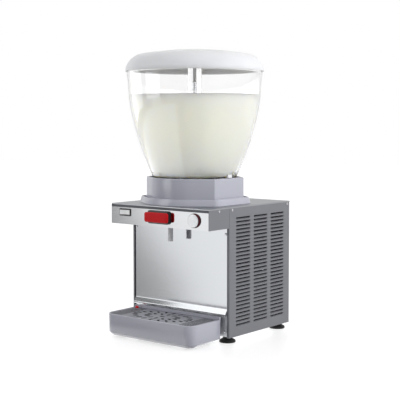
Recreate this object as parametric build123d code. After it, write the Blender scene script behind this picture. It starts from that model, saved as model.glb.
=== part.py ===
"""Cold drink dispenser: a chilled bowl on a louvred cabinet, in millimetres, +Z up.

The origin is the middle of the footprint on the table. The front is -Y, the bowl's axis is parallel to Z.
"""
import os
from math import acos, asin, atan2, cos, degrees, hypot, pi, radians, sin

from build123d import *

# Casing
CABINET_W = 336.0
CABINET_D = 278.0
PANEL_H = 337.0
GROUND_GAP = 15.0
SHEET = 1.2
COVER_T = 3.0
COVER_ROUND = 1.6
COVER_FLANGE = 14.0
PANEL_LIP = 7.0
PANEL_ROUND = 3.0
PAN_LIFT = 2.0
PAN_T = 1.5
PAN_FLANGE = 22.0
PAN_FRONT_H = 84.0
BACK_INSET = 3.0

# Louvres, pressed inwards, open along their top edge
LOUVRE_COLUMNS = 3
BACK_COLUMNS = 1
LOUVRE_PITCH = 10.0
LOUVRE_MARGIN_Y = 30.0
LOUVRE_MARGIN_Z = 28.0
LOUVRE_MARGIN_BACK = 5.0
LOUVRE_GAP = 16.0
LOUVRE_OPEN = 7.2
LOUVRE_RISE = 3.6
LOUVRE_DEPTH = 4.0

# Splash panel, set back behind the side panels' front edges
SPLASH_GAP = 1.4
SPLASH_INSET = 2.6
SPLASH_SCREW_X = 12.5
SPLASH_SCREW_DROP = 16.0
DRIP_FOLD_Z = 73.0
DRIP_FOLD_H = 11.0
DRIP_REACH = 7.6
DRIP_LIP = 5.5

# Header
HEADER_REACH = 84.0
HEADER_H = 51.5
FASCIA_T = 1.5
SEAL_H = 6.5
SEAL_D = 4.0
SEAL_INSET = 1.0
CONTROL_LIFT = 3.0

# Drip tray
TRAY_REACH = 132.0
TRAY_W = 298.0
TRAY_H = 57.5
TRAY_LIFT = 6.0
TRAY_BACK_GAP = 6.3
TRAY_DRAFT = 1.0
TRAY_ROUND = 27.0
TRAY_BACK_ROUND = 8.0
TRAY_BACK_RISE = 6.3
TRAY_RISE_ROUND = 5.0
TRAY_CHAMFER = 8.0
TRAY_RIM = 2.6
TRAY_LEDGE = 2.4
TRAY_FLOOR = 2.5
TONGUE_W = 40.0
TONGUE_T = 3.0
TONGUE_X = 80.0
TONGUE_SHORT = 24.0
SUPPORT_T = 2.0
SUPPORT_H = 40.0
GRILLE_T = 1.8
GRILLE_SINK = 1.0
END_SLOTS = 5
END_SLOT_W = 3.2
END_SLOT_PITCH = 8.0
END_SLOT_MARGIN = 4.0
PETAL_RADII = (26.0, 46.0)
PETAL_COUNTS = (14, 22)
PETAL_STRETCH = 1.9
PETAL_L = 16.0
PETAL_W = 7.0
FLOAT_R = 7.0
FLOAT_CAP_R = 4.4
FLOAT_PROUD = 5.0
FLOAT_TRAVEL = 10.0

# Bowl, drink and lid
AXIS_BEHIND = 66.0
BOWL_H = 284.0
BOWL_WALL = 3.0
BOWL_FOOT_R = 115.0
BOWL_HIP_R = 152.0
BOWL_HIP_H = 97.0
BOWL_SHOULDER_R = 173.0
BOWL_SHOULDER_H = 178.0
BOWL_BELLY_R = 179.0
BOWL_BELLY_H = 228.0
BOWL_RIM_R = 184.6
BOWL_NECK_T = 3.0
DRINK_H = 219.0
LID_LAP = 2.4
LID_SKIRT = 3.0
LID_EDGE = 5.0
LID_SHOULDER_IN = 37.0
LID_SHOULDER_H = 43.0
LID_TURN_IN = 12.5
LID_TURN_H = 28.0
LID_CROWN = 13.0
LID_T = 2.5
LID_SEAT = 5.0
LUG_W = 18.0
LUG_L = 12.0
LUG_H = 9.0
OUTLET_OFFSET = 101.5
OUTLET_R = 9.0
OUTLET_BORE_R = 6.5
OUTLET_L = 34.0
OUTLET_SOCKET = 5.5
OUTLET_SEAT = 3.0

# Collar under the bowl: flat sides and slanting facets that run into a round front and back
COLLAR_HALF_W = 119.0
COLLAR_SIDE_HALF = 63.0
COLLAR_FRONT_R = 121.0
COLLAR_ROUND = 17.0
COLLAR_H = 70.5
COLLAR_WALL = 4.0
COLLAR_EDGE = 3.0
FLANGE_FOOT = 19.0
FLANGE_TOP = 14.0
FLANGE_H = 17.0
GUTTER_W = 9.5
GUTTER_DEPTH = 6.0
GUTTER_WALL = 2.5
BOWL_LIFT = 2.5

# Cold parts inside the bowl
EVAPORATOR_R = 62.0
EVAPORATOR_H = 112.0
EVAPORATOR_WALL = 1.5
EVAPORATOR_ROUND = 24.0
EVAPORATOR_FLANGE_R = 80.0
FLANGE_T = 3.0
STANDPIPE_R = 6.5
STANDPIPE_BORE_R = 5.2
STANDPIPE_TOP = 252.0
COIL_T = 6.0
COIL_H = 80.0
BOWL_SEAL_T = 5.0
FOAM_GAP = 0.2

# Agitator
SHAFT_R = 4.0
SHAFT_PROUD = 14.0
BUSH_L = 14.0
BUSH_FLANGE_R = 6.2
BUSH_FLANGE_T = 2.0
AGITATOR_R = 19.0
AGITATOR_WALL = 2.0
HUB_T = 6.0
PADDLE_R = 56.0
PADDLE_H = 34.0
PADDLE_T = 3.0
PADDLES = 4
PADDLE_LIFT = 5.0

# Gear motor
GEARBOX = 70.0
GEARBOX_H = 40.0
MOTOR_R = 29.0
MOTOR_L = 68.0
BRACKET = 84.0
BRACKET_T = 2.0
BRACKET_DROP = 18.0
STANDOFF_R = 4.0

# Valve and spout
SPOUT_R = 6.8
SPOUT_BORE_R = 4.6
SPOUT_DROP = 42.0
SPOUT_FLANGE_R = 11.0
SPOUT_FLANGE_T = 2.0
VALVE = 28.0
VALVE_FOOT_GAP = 8.0
PLUNGER_R = 5.0
PLUNGER_L = 44.0
PLUNGER_STROKE = 5.0
SOLENOID_R = 14.0
SOLENOID_L = 46.0

# Controls on the fascia
BUTTON_X = 4.7
BUTTON_W = 82.5
BUTTON_H = 26.0
BUTTON_T = 5.0
BUTTON_TRAVEL = 4.0
BUTTON_ROUND = 6.0
BUTTON_CORE_INSET = 8.0
BEZEL_W = 75.0
BEZEL_H = 31.0
BEZEL_PROUD = 6.0
BEZEL_SLEEVE_T = 1.6
BEZEL_DEPTH = 11.0
BUTTON_EDGE = 1.5
STEM_R = 3.0
STEM_L = 3.0
SWITCH_W = 28.0
SWITCH_H = 16.0
SWITCH_D = 12.0
KNOB_X = 121.5
KNOB_DROP = 1.7
KNOB_R = 19.0
KNOB_L = 8.5
KNOB_TAPER = 1.5
KNOB_CAP_R = 16.0
KNOB_CAP_T = 1.6
KNOB_CAP_SINK = 0.8
KNOB_SHAFT_R = 3.0
POT_R = 12.0
POT_D = 14.0
POT_BACK = 3.0
ROCKER_X = -117.3
ROCKER_LIFT = 6.4
ROCKER_W = 32.0
ROCKER_H = 12.0
ROCKER_T = 6.5
ROCKER_TILT = 8.0
ROCKER_PIN_R = 1.2
FRAME_RIM = 4.0
FRAME_PROUD = 2.0
FRAME_WALL = 1.6
FRAME_DEPTH = 18.0
BOARD_W = 96.0
BOARD_D = 46.0
BOARD_T = 1.6
BOARD_LIFT = 8.0
BOARD_POST_R = 3.5
RELAYS = 3
RELAY_W = 16.0
RELAY_D = 18.0
RELAY_H = 8.0

# Refrigeration in the cabinet
COMPRESSOR_R = 60.0
COMPRESSOR_H = 150.0
COMPRESSOR_MARGIN = 16.0
COMPRESSOR_SET_IN = 46.0
COMPRESSOR_CROWN = 27.0
COMPRESSOR_PLATE = 128.0
COMPRESSOR_PLATE_T = 3.0
MOUNT_R = 9.0
MOUNT_H = 12.0
CONDENSER_T = 46.0
CONDENSER_FRONT = 69.0
CONDENSER_H = 176.0
CONDENSER_MARGIN = 9.0
CONDENSER_RUNS = 6
FIN_PITCH = 8.0
FIN_T = 0.6
END_FIN_T = 1.6
COIL_TUBE_R = 4.0
FAN_EDGE = 14.0
FAN_HUB_R = 15.0
FAN_BLADES = 5
FAN_PITCH = 28.0
FAN_CHORD = 26.0
FAN_BLADE_T = 1.5
FAN_DEPTH = 14.0
SHROUD_T = 1.5
SHROUD_RING = 2.0
FAN_MOTOR_R = 28.0
FAN_MOTOR_L = 40.0
FAN_SHAFT_R = 3.0
FAN_SHAFT_GRIP = 12.0
PEDESTAL = 26.0
PIPE_R = 4.0
PIPE_BEND = 22.0
LINE_R = 2.5
PIPE_X = 52.0
PIPE_Y = 42.0
PIPE_RISE = 45.0
SUCTION_RISE = 70.0
SUCTION_X = 24.0
DRIER_R = 10.0
DRIER_L = 80.0
DRIER_ROUND = 6.0
DRIER_REACH = 60.0

# Feet, inlet and fasteners
FOOT_R = 21.5
FOOT_DISC_H = 5.0
FOOT_NECK_R = 12.0
FOOT_STUD_R = 4.0
FOOT_STUD_L = 14.0
FOOT_INSET_X = 22.0
FOOT_INSET_FRONT = 22.0
FOOT_INSET_BACK = 28.0
FOOT_BOSS_R = 9.0
FOOT_BOSS_H = 9.0
INLET_W = 48.0
INLET_H = 28.0
INLET_D = 24.0
INLET_RIM = 4.0
INLET_Z = 62.0
SCREW_R = 2.0
SCREW_L = 5.0
SCREW_HEAD_R = 3.6
SCREW_HEAD_H = 1.8
SCREW_EDGE = 13.0
SCREW_DROP = 5.0
PAN_SCREW_X = 16.5
PAN_SCREW_DROP = 8.0

# Clearances
RUNNING = 0.06
LOOSE = 0.3
SLIDE = 0.4
PIPE_PASS = 1.0
NECK_GAP = 2.0
TUBE_GAP = 1.6
PADDLE_GAP = 2.0
FAN_GAP = 2.0
BOARD_GAP = 4.0

# Levels and planes that the pieces share
Y_FRONT = (TRAY_REACH - CABINET_D) / 2
Y_BACK = Y_FRONT + CABINET_D
Y_TRAY = Y_FRONT - TRAY_REACH
Y_HEADER = Y_FRONT - HEADER_REACH
Y_SPLASH = Y_FRONT + SPLASH_INSET
Y_PAN = Y_SPLASH + SHEET
Y_REAR = Y_BACK - BACK_INSET
HALF_W = CABINET_W / 2
INNER_W = HALF_W - SHEET
SPLASH_W = HALF_W - PANEL_LIP - SPLASH_GAP
Z_PANEL = GROUND_GAP
Z_PAN = Z_PANEL + PAN_LIFT
Z_FLOOR = Z_PAN + PAN_T
Z_COVER = Z_PANEL + PANEL_H
Z_TOP = Z_COVER + COVER_T
Z_HEADER = Z_COVER - HEADER_H
Z_CONTROLS = (Z_HEADER + Z_COVER - SEAL_H) / 2 + CONTROL_LIFT
Z_KNOB = Z_CONTROLS - KNOB_DROP
Z_ROCKER = Z_CONTROLS + ROCKER_LIFT
Z_FOLD = Z_PANEL + DRIP_FOLD_Z
AXIS = (0.0, Y_FRONT + AXIS_BEHIND)
Z_COLLAR = Z_TOP + COLLAR_H
Z_BOWL = Z_COLLAR + BOWL_LIFT
Z_RIM = Z_BOWL + BOWL_H
LID_R = BOWL_RIM_R + LID_LAP
Z_DRINK = Z_BOWL + DRINK_H
Z_SEAL = Z_BOWL + BOWL_WALL - OUTLET_L + OUTLET_SEAT
Z_FLANGE = Z_SEAL - FLANGE_T
Z_DOME = Z_FLANGE + EVAPORATOR_H
Z_STANDPIPE = Z_BOWL + STANDPIPE_TOP
Z_SHAFT = Z_STANDPIPE + BUSH_FLANGE_T + SHAFT_PROUD
Z_BRACKET = Z_COVER - BRACKET_DROP
Z_GEARBOX = Z_BRACKET - BRACKET_T - GEARBOX_H
OUTLET = (AXIS[0], AXIS[1] - OUTLET_OFFSET)
NECK_R = EVAPORATOR_R + NECK_GAP
Z_VALVE = Z_HEADER + SHEET + VALVE_FOOT_GAP
VALVE_Z = Z_VALVE + VALVE / 2
TRAY_BACK = Y_FRONT - TRAY_BACK_GAP
TRAY_TOP = TRAY_LIFT + TRAY_H
TRAY_UNDER = TRAY_LIFT + LOOSE + TONGUE_T + LOOSE
TRAY_BED = TRAY_UNDER + TRAY_FLOOR
GRILLE_TOP = TRAY_TOP - GRILLE_SINK
GRILLE_Z = GRILLE_TOP - GRILLE_T
CONDENSER_X = -INNER_W + CONDENSER_MARGIN
CONDENSER_Y = Y_REAR - SHEET - CONDENSER_MARGIN - 2 * LOUVRE_GAP
CONDENSER_L = CONDENSER_Y - Y_PAN - CONDENSER_FRONT
FAN_R = min(CONDENSER_L, CONDENSER_H) / 2 - FAN_EDGE
FAN_CENTRE = (CONDENSER_Y - CONDENSER_L / 2, Z_FLOOR + CONDENSER_H / 2)
SHROUD_X = CONDENSER_X + CONDENSER_T
FAN_X = SHROUD_X + SHROUD_T + LOOSE
FAN_MOTOR_X = FAN_X + FAN_DEPTH + FAN_GAP
COMPRESSOR = (
    INNER_W - COMPRESSOR_MARGIN - COMPRESSOR_PLATE / 2,
    Y_REAR - SHEET - COMPRESSOR_SET_IN - COMPRESSOR_PLATE / 2,
)
Z_COMPRESSOR = Z_FLOOR + MOUNT_H
Z_SHELL_TOP = Z_COMPRESSOR + COMPRESSOR_PLATE_T + COMPRESSOR_H
PIPES = ((AXIS[0] + PIPE_X, AXIS[1] + PIPE_Y), (AXIS[0] - PIPE_X, AXIS[1] + PIPE_Y))
FOOT_PLACES = {
    "foot_front_left": (FOOT_INSET_X - HALF_W, Y_FRONT + FOOT_INSET_FRONT),
    "foot_front_right": (HALF_W - FOOT_INSET_X, Y_FRONT + FOOT_INSET_FRONT),
    "foot_rear_left": (FOOT_INSET_X - HALF_W, Y_BACK - FOOT_INSET_BACK),
    "foot_rear_right": (HALF_W - FOOT_INSET_X, Y_BACK - FOOT_INSET_BACK),
}


# Basic shapes
def block(x, y, z):
    """Box from a (low, high) pair on each axis."""
    spans = (x, y, z)
    size = [high - low for low, high in spans]
    middle = [(high + low) / 2 for low, high in spans]
    return Pos(*middle) * Box(*size)


def rod(radius, start, end):
    """Round bar from one point to another."""
    run = Vector(*end) - Vector(*start)
    base = Plane(origin=start, z_dir=run)
    return base * Cylinder(radius, run.length, align=(Align.CENTER, Align.CENTER, Align.MIN))


def upright(radius, z, place):
    """Round bar along Z at a place, from a (low, high) pair."""
    return rod(radius, (*place, z[0]), (*place, z[1]))


def ring(outer, inner, z, place):
    """Upright tube at a place."""
    return upright(outer, z, place) - upright(inner, z, place)


def turned(outline, place):
    """Solid turned round an upright axis from edges in (radius, height) that close at the axis."""
    face = make_face(Plane.XZ * outline)
    return Pos(*place, 0) * revolve(face, Axis.Z)


def pipe(radius, points, bend):
    """Tube along straight runs joined by tangent arcs."""
    path = FilletPolyline(*points, radius=bend)
    start = Plane(origin=path @ 0, z_dir=path % 0)
    return sweep(start * Circle(radius), path=path)


def slot_plate(width, height, corner, y):
    """Upright plate facing the front with rounded corners, from a (front, back) pair."""
    back = Plane(origin=(0, y[1], 0), x_dir=(1, 0, 0), z_dir=(0, -1, 0))
    face = back * RectangleRounded(width, height, corner)
    return extrude(face, y[1] - y[0])


# Casing screws: a place on the face and the direction that the head looks
def screw_places():
    """Every casing screw as (point on the face, outward direction)."""
    places = []
    top = Z_COVER - SCREW_DROP
    for side in (-1, 1):
        for y in (Y_FRONT + SCREW_EDGE, Y_BACK - SCREW_EDGE, (Y_HEADER + Y_FRONT) / 2):
            places.append(((side * HALF_W, y, top), (side, 0, 0)))
        low_x = side * (HALF_W - PAN_SCREW_X)
        places.append(((low_x, Y_PAN, Z_PAN + PAN_FLANGE - PAN_SCREW_DROP), (0, -1, 0)))
        high_x = side * (HALF_W - SPLASH_SCREW_X)
        places.append(((high_x, Y_SPLASH, Z_HEADER - SPLASH_SCREW_DROP), (0, -1, 0)))
        for z in (Z_PAN + PAN_FLANGE / 2, Z_COVER - SCREW_EDGE):
            places.append(((side * (INNER_W - SCREW_EDGE), Y_REAR, z), (0, 1, 0)))
    return places


def screw_bodies(radius, head_radius):
    """Shank and head of every casing screw, as a list of solids."""
    bodies = []
    for point, look in screw_places():
        seat = Vector(*point)
        out = Vector(*look)
        shank = rod(radius, tuple(seat - out * SCREW_L), tuple(seat))
        head = rod(head_radius, tuple(seat), tuple(seat + out * SCREW_HEAD_H))
        bodies.append(shank + head)
    return bodies


def drilled(shape):
    """The shape with a clearance hole for every casing screw that passes through it."""
    return shape - screw_bodies(SCREW_R + RUNNING, SCREW_R + RUNNING)


def casing_screws():
    """All casing screws as one group of separate solids."""
    return Compound(children=[Part(body.wrapped) for body in screw_bodies(SCREW_R, SCREW_HEAD_R)])


# Cabinet
def louvre_rows(bottom, top):
    """Heights of the louvres' lower edges between two levels."""
    span = top - bottom - 2 * LOUVRE_MARGIN_Z
    count = int(span / LOUVRE_PITCH) + 1
    start = bottom + LOUVRE_MARGIN_Z + (span - (count - 1) * LOUVRE_PITCH - LOUVRE_OPEN) / 2
    return [start + row * LOUVRE_PITCH for row in range(count)]


def louvre_columns(low, high, margin, columns):
    """Middles and length of the louvre columns between two edges."""
    usable = high - low - 2 * margin
    length = (usable - (columns - 1) * LOUVRE_GAP) / columns
    step = length + LOUVRE_GAP
    middles = [low + margin + length / 2 + column * step for column in range(columns)]
    return middles, length


def louvred_sheet(span, rise, margin, columns):
    """Sheet in the YZ plane with its outer face at X = 0, pierced by louvres pressed towards -X."""
    middles, length = louvre_columns(*span, margin, columns)
    rows = louvre_rows(*rise)
    face = Pos(sum(span) / 2, sum(rise) / 2) * Rectangle(span[1] - span[0], rise[1] - rise[0])
    windows = [
        Pos(y, z + LOUVRE_OPEN / 2) * Rectangle(length, LOUVRE_OPEN) for y in middles for z in rows
    ]
    sheet = extrude(Plane.YZ.offset(-SHEET) * (face - windows), SHEET)
    root = LOUVRE_OPEN - LOUVRE_RISE - SHEET
    section = Polyline(
        (0, -root),
        (0, 0),
        (-LOUVRE_DEPTH, LOUVRE_RISE),
        (-LOUVRE_DEPTH - SHEET, LOUVRE_RISE),
        (-SHEET, 0),
        (-SHEET, -root),
        close=True,
    )
    vane = extrude(Plane.XZ * make_face(section), length / 2, both=True)
    return sheet + [Pos(0, y, z) * vane for y in middles for z in rows]


def right_panel():
    """Louvred side panel with a narrow return along its front and back edges."""
    span = (Y_FRONT, Y_BACK)
    sheet = louvred_sheet(span, (Z_PANEL, Z_COVER), LOUVRE_MARGIN_Y, LOUVRE_COLUMNS)
    sheet = Pos(HALF_W, 0, 0) * sheet
    returns = [
        block((HALF_W - PANEL_LIP, HALF_W), (y, y + SHEET), (Z_PANEL, Z_COVER))
        for y in (Y_FRONT, Y_BACK - SHEET)
    ]
    panel = sheet + returns
    corners = panel.edges().filter_by(Axis.Z).group_by(Axis.X)[-1]
    outer = [edge for edge in corners if edge.length > PANEL_H - SHEET]
    return drilled(fillet(outer, min(PANEL_ROUND, PANEL_LIP / 2)))


def left_panel():
    """The right panel's mirror image."""
    return mirror(right_panel(), about=Plane.YZ)


def back_panel():
    """Rear sheet with louvres behind the compressor's inner half and a cut-out for the power inlet."""
    wall = (Y_REAR - SHEET, Y_REAR)
    field_x = (COMPRESSOR[0] - COMPRESSOR_R, COMPRESSOR[0])
    field_z = (Z_FLOOR, Z_SHELL_TOP)
    plain = block((-INNER_W, INNER_W), wall, (Z_PAN, Z_COVER)) - block(field_x, wall, field_z)
    field = louvred_sheet((-field_x[1], -field_x[0]), field_z, LOUVRE_MARGIN_BACK, BACK_COLUMNS)
    panel = plain + Pos(0, Y_REAR, 0) * Rot(0, 0, 90) * field
    return drilled(panel - inlet_box(SLIDE / 2))


def inlet_box(gap):
    """The power inlet's body, grown by a gap, where it passes through the rear sheet."""
    x = (-INLET_W / 2 - gap, INLET_W / 2 + gap)
    z = (Z_PANEL + INLET_Z - INLET_H / 2 - gap, Z_PANEL + INLET_Z + INLET_H / 2 + gap)
    return block(x, (Y_REAR - INLET_D, Y_REAR), z)


def power_inlet():
    """Recessed mains inlet with its rim on the rear sheet and three contact blades."""
    rim_x = (-INLET_W / 2 - INLET_RIM, INLET_W / 2 + INLET_RIM)
    middle = Z_PANEL + INLET_Z
    rim_z = (middle - INLET_H / 2 - INLET_RIM, middle + INLET_H / 2 + INLET_RIM)
    rim = block(rim_x, (Y_REAR, Y_REAR + BACK_INSET / 2), rim_z)
    well = block(
        (-INLET_W / 2 + INLET_RIM, INLET_W / 2 - INLET_RIM),
        (Y_REAR - INLET_D + INLET_RIM, Y_REAR + BACK_INSET),
        (middle - INLET_H / 2 + INLET_RIM, middle + INLET_H / 2 - INLET_RIM),
    )
    blades = [
        block(
            (x - INLET_RIM / 4, x + INLET_RIM / 4),
            (Y_REAR - INLET_D + INLET_RIM, Y_REAR - INLET_RIM),
            (middle - INLET_RIM, middle + INLET_RIM),
        )
        for x in (-INLET_W / 5, 0, INLET_W / 5)
    ]
    return (inlet_box(0) + rim) - well + blades


def base_pan():
    """Folded floor of the cabinet with a tall front flange and a boss over each foot."""
    floor = block((-INNER_W, INNER_W), (Y_PAN, Y_REAR - SHEET), (Z_PAN, Z_FLOOR))
    rise = (Z_PAN, Z_PAN + PAN_FLANGE)
    back = block((-INNER_W, INNER_W), (Y_REAR - SHEET - PAN_T, Y_REAR - SHEET), rise)
    cut = block((-INLET_W, INLET_W), (Y_REAR - INLET_D * 2, Y_REAR), (Z_FLOOR, Z_PAN + PAN_FLANGE))
    front = block((-SPLASH_W, SPLASH_W), (Y_PAN, Y_PAN + PAN_T), (Z_PAN, Z_PAN + PAN_FRONT_H))
    sides = [
        block(x, (Y_PAN, Y_REAR - SHEET), rise)
        for x in ((-INNER_W, -INNER_W + PAN_T), (INNER_W - PAN_T, INNER_W))
    ]
    bosses = [
        upright(FOOT_BOSS_R, (Z_PAN, Z_FLOOR + FOOT_BOSS_H), place) for place in FOOT_PLACES.values()
    ]
    holes = [
        upright(FOOT_STUD_R + RUNNING, (Z_PAN, Z_FLOOR + FOOT_BOSS_H), place)
        for place in FOOT_PLACES.values()
    ]
    return drilled(floor + (back - cut) + front + sides + bosses - holes)


def front_panel():
    """Brushed splash panel that reaches behind the side returns, with a drip lip folded forward."""
    front = Y_SPLASH
    fold = Z_FOLD - DRIP_FOLD_H
    foot = fold - DRIP_LIP
    face = block((LOOSE - INNER_W, INNER_W - LOOSE), (front, front + SHEET), (Z_FOLD, Z_HEADER))
    section = Polyline(
        (front, Z_FOLD + SHEET),
        (front, Z_FOLD),
        (front - DRIP_REACH, fold),
        (front - DRIP_REACH, foot),
        (front - DRIP_REACH + SHEET, foot),
        (front - DRIP_REACH + SHEET, fold + SHEET / 2),
        (front + SHEET, Z_FOLD + SHEET / 2),
        (front + SHEET, Z_FOLD + SHEET),
        close=True,
    )
    return drilled(face + extrude(Plane.YZ * make_face(section), SPLASH_W, both=True))


def header_shell():
    """Two cheeks and the floor of the header, with the hole for the spout."""
    rise = (Z_HEADER, Z_COVER)
    cheeks = [
        block(x, (Y_HEADER, Y_FRONT), rise) for x in ((-HALF_W, -INNER_W), (INNER_W, HALF_W))
    ]
    floor = block((-HALF_W, HALF_W), (Y_HEADER + FASCIA_T, Y_FRONT), (Z_HEADER, Z_HEADER + SHEET))
    tongue = block(
        (-SPLASH_W, SPLASH_W), (Y_FRONT, Y_PAN + PANEL_LIP), (Z_HEADER, Z_HEADER + SHEET)
    )
    hole = upright(SPOUT_R + SLIDE, (Z_HEADER - SHEET, Z_HEADER + 2 * SHEET), OUTLET)
    return drilled(cheeks[0] + cheeks[1] + floor + tongue - hole)


def top_cover():
    """Top sheet with inner side flanges and the holes for the drive, the outlet and the pipes."""
    plate = block((-HALF_W, HALF_W), (Y_HEADER, Y_BACK), (Z_COVER, Z_TOP))
    rounded = fillet(plate.faces().sort_by(Axis.Z)[-1].edges(), min(COVER_ROUND, COVER_T - LOOSE))
    flanges = [
        block(x, y, (Z_COVER - COVER_FLANGE, Z_COVER))
        for x in ((-INNER_W, -INNER_W + SHEET), (INNER_W - SHEET, INNER_W))
        for y in ((Y_HEADER + SCREW_EDGE, Y_FRONT), (Y_FRONT + SHEET, Y_REAR - SHEET))
    ]
    holes = [upright(SHAFT_R * 4, (Z_COVER, Z_TOP), AXIS)]
    holes.append(upright(OUTLET_R + OUTLET_SOCKET, (Z_COVER, Z_TOP), OUTLET))
    holes += [upright(PIPE_R + PIPE_PASS, (Z_COVER, Z_TOP), place) for place in PIPES]
    return drilled(rounded + flanges - holes)


# Collar
def hexagon(offset):
    """The collar's plan, grown by an offset: the facets touch a circle about the axis, front and back."""
    corner_r = hypot(COLLAR_HALF_W, COLLAR_SIDE_HALF)
    lean = atan2(COLLAR_SIDE_HALF, COLLAR_HALF_W) + acos(COLLAR_FRONT_R / corner_r)
    half = COLLAR_HALF_W + offset
    reach = COLLAR_FRONT_R + offset
    tip = reach / sin(lean)
    side = (reach - half * cos(lean)) / sin(lean)
    points = [(0, tip), (half, side), (half, -side), (0, -tip), (-half, -side), (-half, side)]
    face = make_face(Polyline(*points, close=True))
    side_corners = [corner for corner in face.vertices() if abs(corner.X) > half / 2]
    face = fillet(side_corners, COLLAR_ROUND + offset)
    tips = [corner for corner in face.vertices() if abs(corner.X) < half / 2]
    return fillet(tips, reach)


def hex_prism(offset, z):
    """Upright prism on the collar's plan."""
    return Pos(*AXIS, z[0]) * extrude(hexagon(offset), z[1] - z[0])


def collar_base():
    """Sloping skirt round the collar with a gutter in its top."""
    skirt = loft([Pos(0, 0, 0) * hexagon(FLANGE_FOOT), Pos(0, 0, FLANGE_H) * hexagon(FLANGE_TOP)])
    gutter = (Z_TOP + FLANGE_H - GUTTER_DEPTH, Z_TOP + FLANGE_H)
    groove_out = FLANGE_TOP - GUTTER_WALL
    groove = hex_prism(groove_out, gutter) - hex_prism(groove_out - GUTTER_W, gutter)
    return Pos(*AXIS, Z_TOP) * skirt - hex_prism(0, (Z_TOP, Z_TOP + FLANGE_H)) - groove


def collar_ring():
    """Tall wall that hides the bowl's foot."""
    outer = hex_prism(0, (Z_TOP, Z_COLLAR))
    rim = outer.faces().sort_by(Axis.Z)[-1].edges()
    return chamfer(rim, COLLAR_EDGE) - hex_prism(-COLLAR_WALL, (Z_TOP, Z_COLLAR))


def foam_base():
    """Insulation that fills the collar under the evaporator."""
    block_of_foam = hex_prism(-COLLAR_WALL - FOAM_GAP, (Z_TOP, Z_FLANGE))
    holes = [upright(SHAFT_R * 4, (Z_TOP, Z_FLANGE), AXIS)]
    holes.append(upright(OUTLET_R + OUTLET_SOCKET, (Z_TOP, Z_FLANGE), OUTLET))
    holes += [upright(PIPE_R + PIPE_PASS, (Z_TOP, Z_FLANGE), place) for place in PIPES]
    return block_of_foam - holes


# Cold parts
def evaporator():
    """Steel dome on a flange, with a standpipe that keeps the drive shaft dry."""
    flange = upright(EVAPORATOR_FLANGE_R, (Z_FLANGE, Z_SEAL), AXIS)
    dome = upright(EVAPORATOR_R, (Z_FLANGE, Z_DOME), AXIS)
    dome = fillet(dome.edges().group_by(Axis.Z)[-1], EVAPORATOR_ROUND)
    room = upright(EVAPORATOR_R - EVAPORATOR_WALL, (Z_FLANGE, Z_DOME - EVAPORATOR_WALL), AXIS)
    room = fillet(room.edges().group_by(Axis.Z)[-1], EVAPORATOR_ROUND - EVAPORATOR_WALL)
    pipe_up = upright(STANDPIPE_R, (Z_FLANGE, Z_STANDPIPE), AXIS)
    bore = upright(STANDPIPE_BORE_R, (Z_FLANGE, Z_STANDPIPE), AXIS)
    return flange + dome - room + pipe_up - bore


def evaporator_coil():
    """Outer shape of the cooling coil against the inside of the dome."""
    outer = EVAPORATOR_R - EVAPORATOR_WALL - FOAM_GAP
    return ring(outer, outer - COIL_T, (Z_SEAL, Z_SEAL + COIL_H), AXIS)


def bowl_seal():
    """Rubber ring between the evaporator's flange and the bowl's neck."""
    return ring(EVAPORATOR_FLANGE_R, EVAPORATOR_R + LOOSE, (Z_SEAL, Z_SEAL + BOWL_SEAL_T), AXIS)


def shaft_bush():
    """Plain bearing at the top of the standpipe."""
    sleeve = upright(STANDPIPE_BORE_R, (Z_STANDPIPE - BUSH_L, Z_STANDPIPE), AXIS)
    flange = upright(BUSH_FLANGE_R, (Z_STANDPIPE, Z_STANDPIPE + BUSH_FLANGE_T), AXIS)
    bore = upright(SHAFT_R + RUNNING, (Z_STANDPIPE - BUSH_L, Z_STANDPIPE + BUSH_FLANGE_T), AXIS)
    return sleeve + flange - bore


# Bowl, drink and lid
def bell(inset, top):
    """Filled bell on the bowl's outline, drawn in by an inset and cut off level at a height."""
    foot = (BOWL_FOOT_R - inset, Z_BOWL)
    hip = (BOWL_HIP_R - inset, Z_BOWL + BOWL_HIP_H)
    shoulder = (BOWL_SHOULDER_R - inset, Z_BOWL + BOWL_SHOULDER_H)
    belly = (BOWL_BELLY_R - inset, Z_BOWL + BOWL_BELLY_H)
    rim = (BOWL_RIM_R - inset, Z_RIM)
    flank = ThreePointArc(foot, hip, shoulder)
    turn = TangentArc(shoulder, belly, tangent=flank % 1)
    flare = TangentArc(belly, rim, tangent=turn % 1)
    closing = Polyline(rim, (0, Z_RIM), (0, Z_BOWL), foot)
    filled = turned(Curve() + [flank, turn, flare, closing], AXIS)
    return filled - upright(BOWL_RIM_R * 2, (top, Z_RIM + BOWL_H), AXIS)


def bowl():
    """Clear bowl with a neck that seats on the seal, an outlet nipple and two lugs."""
    floor = Z_BOWL + BOWL_WALL
    room = bell(BOWL_WALL, Z_RIM) - upright(BOWL_RIM_R, (Z_BOWL, floor), AXIS)
    neck = (Z_SEAL + BOWL_SEAL_T, floor)
    shell = bell(0, Z_RIM) - room
    shell += upright(NECK_R + BOWL_NECK_T, neck, AXIS)
    shell -= upright(NECK_R, neck, AXIS)
    outlet = (floor - OUTLET_L, floor)
    shell += upright(OUTLET_R, outlet, OUTLET)
    shell -= upright(OUTLET_BORE_R, outlet, OUTLET)
    reach = BOWL_FOOT_R + LUG_L / 2
    low = Z_COLLAR + LOOSE
    lug = block((reach - LUG_L, reach), (-LUG_W / 2, LUG_W / 2), (low, low + LUG_H))
    lugs = [Pos(*AXIS, 0) * Rot(0, 0, spot) * lug for spot in (0, 180)]
    return shell + [one - room for one in lugs]


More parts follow.
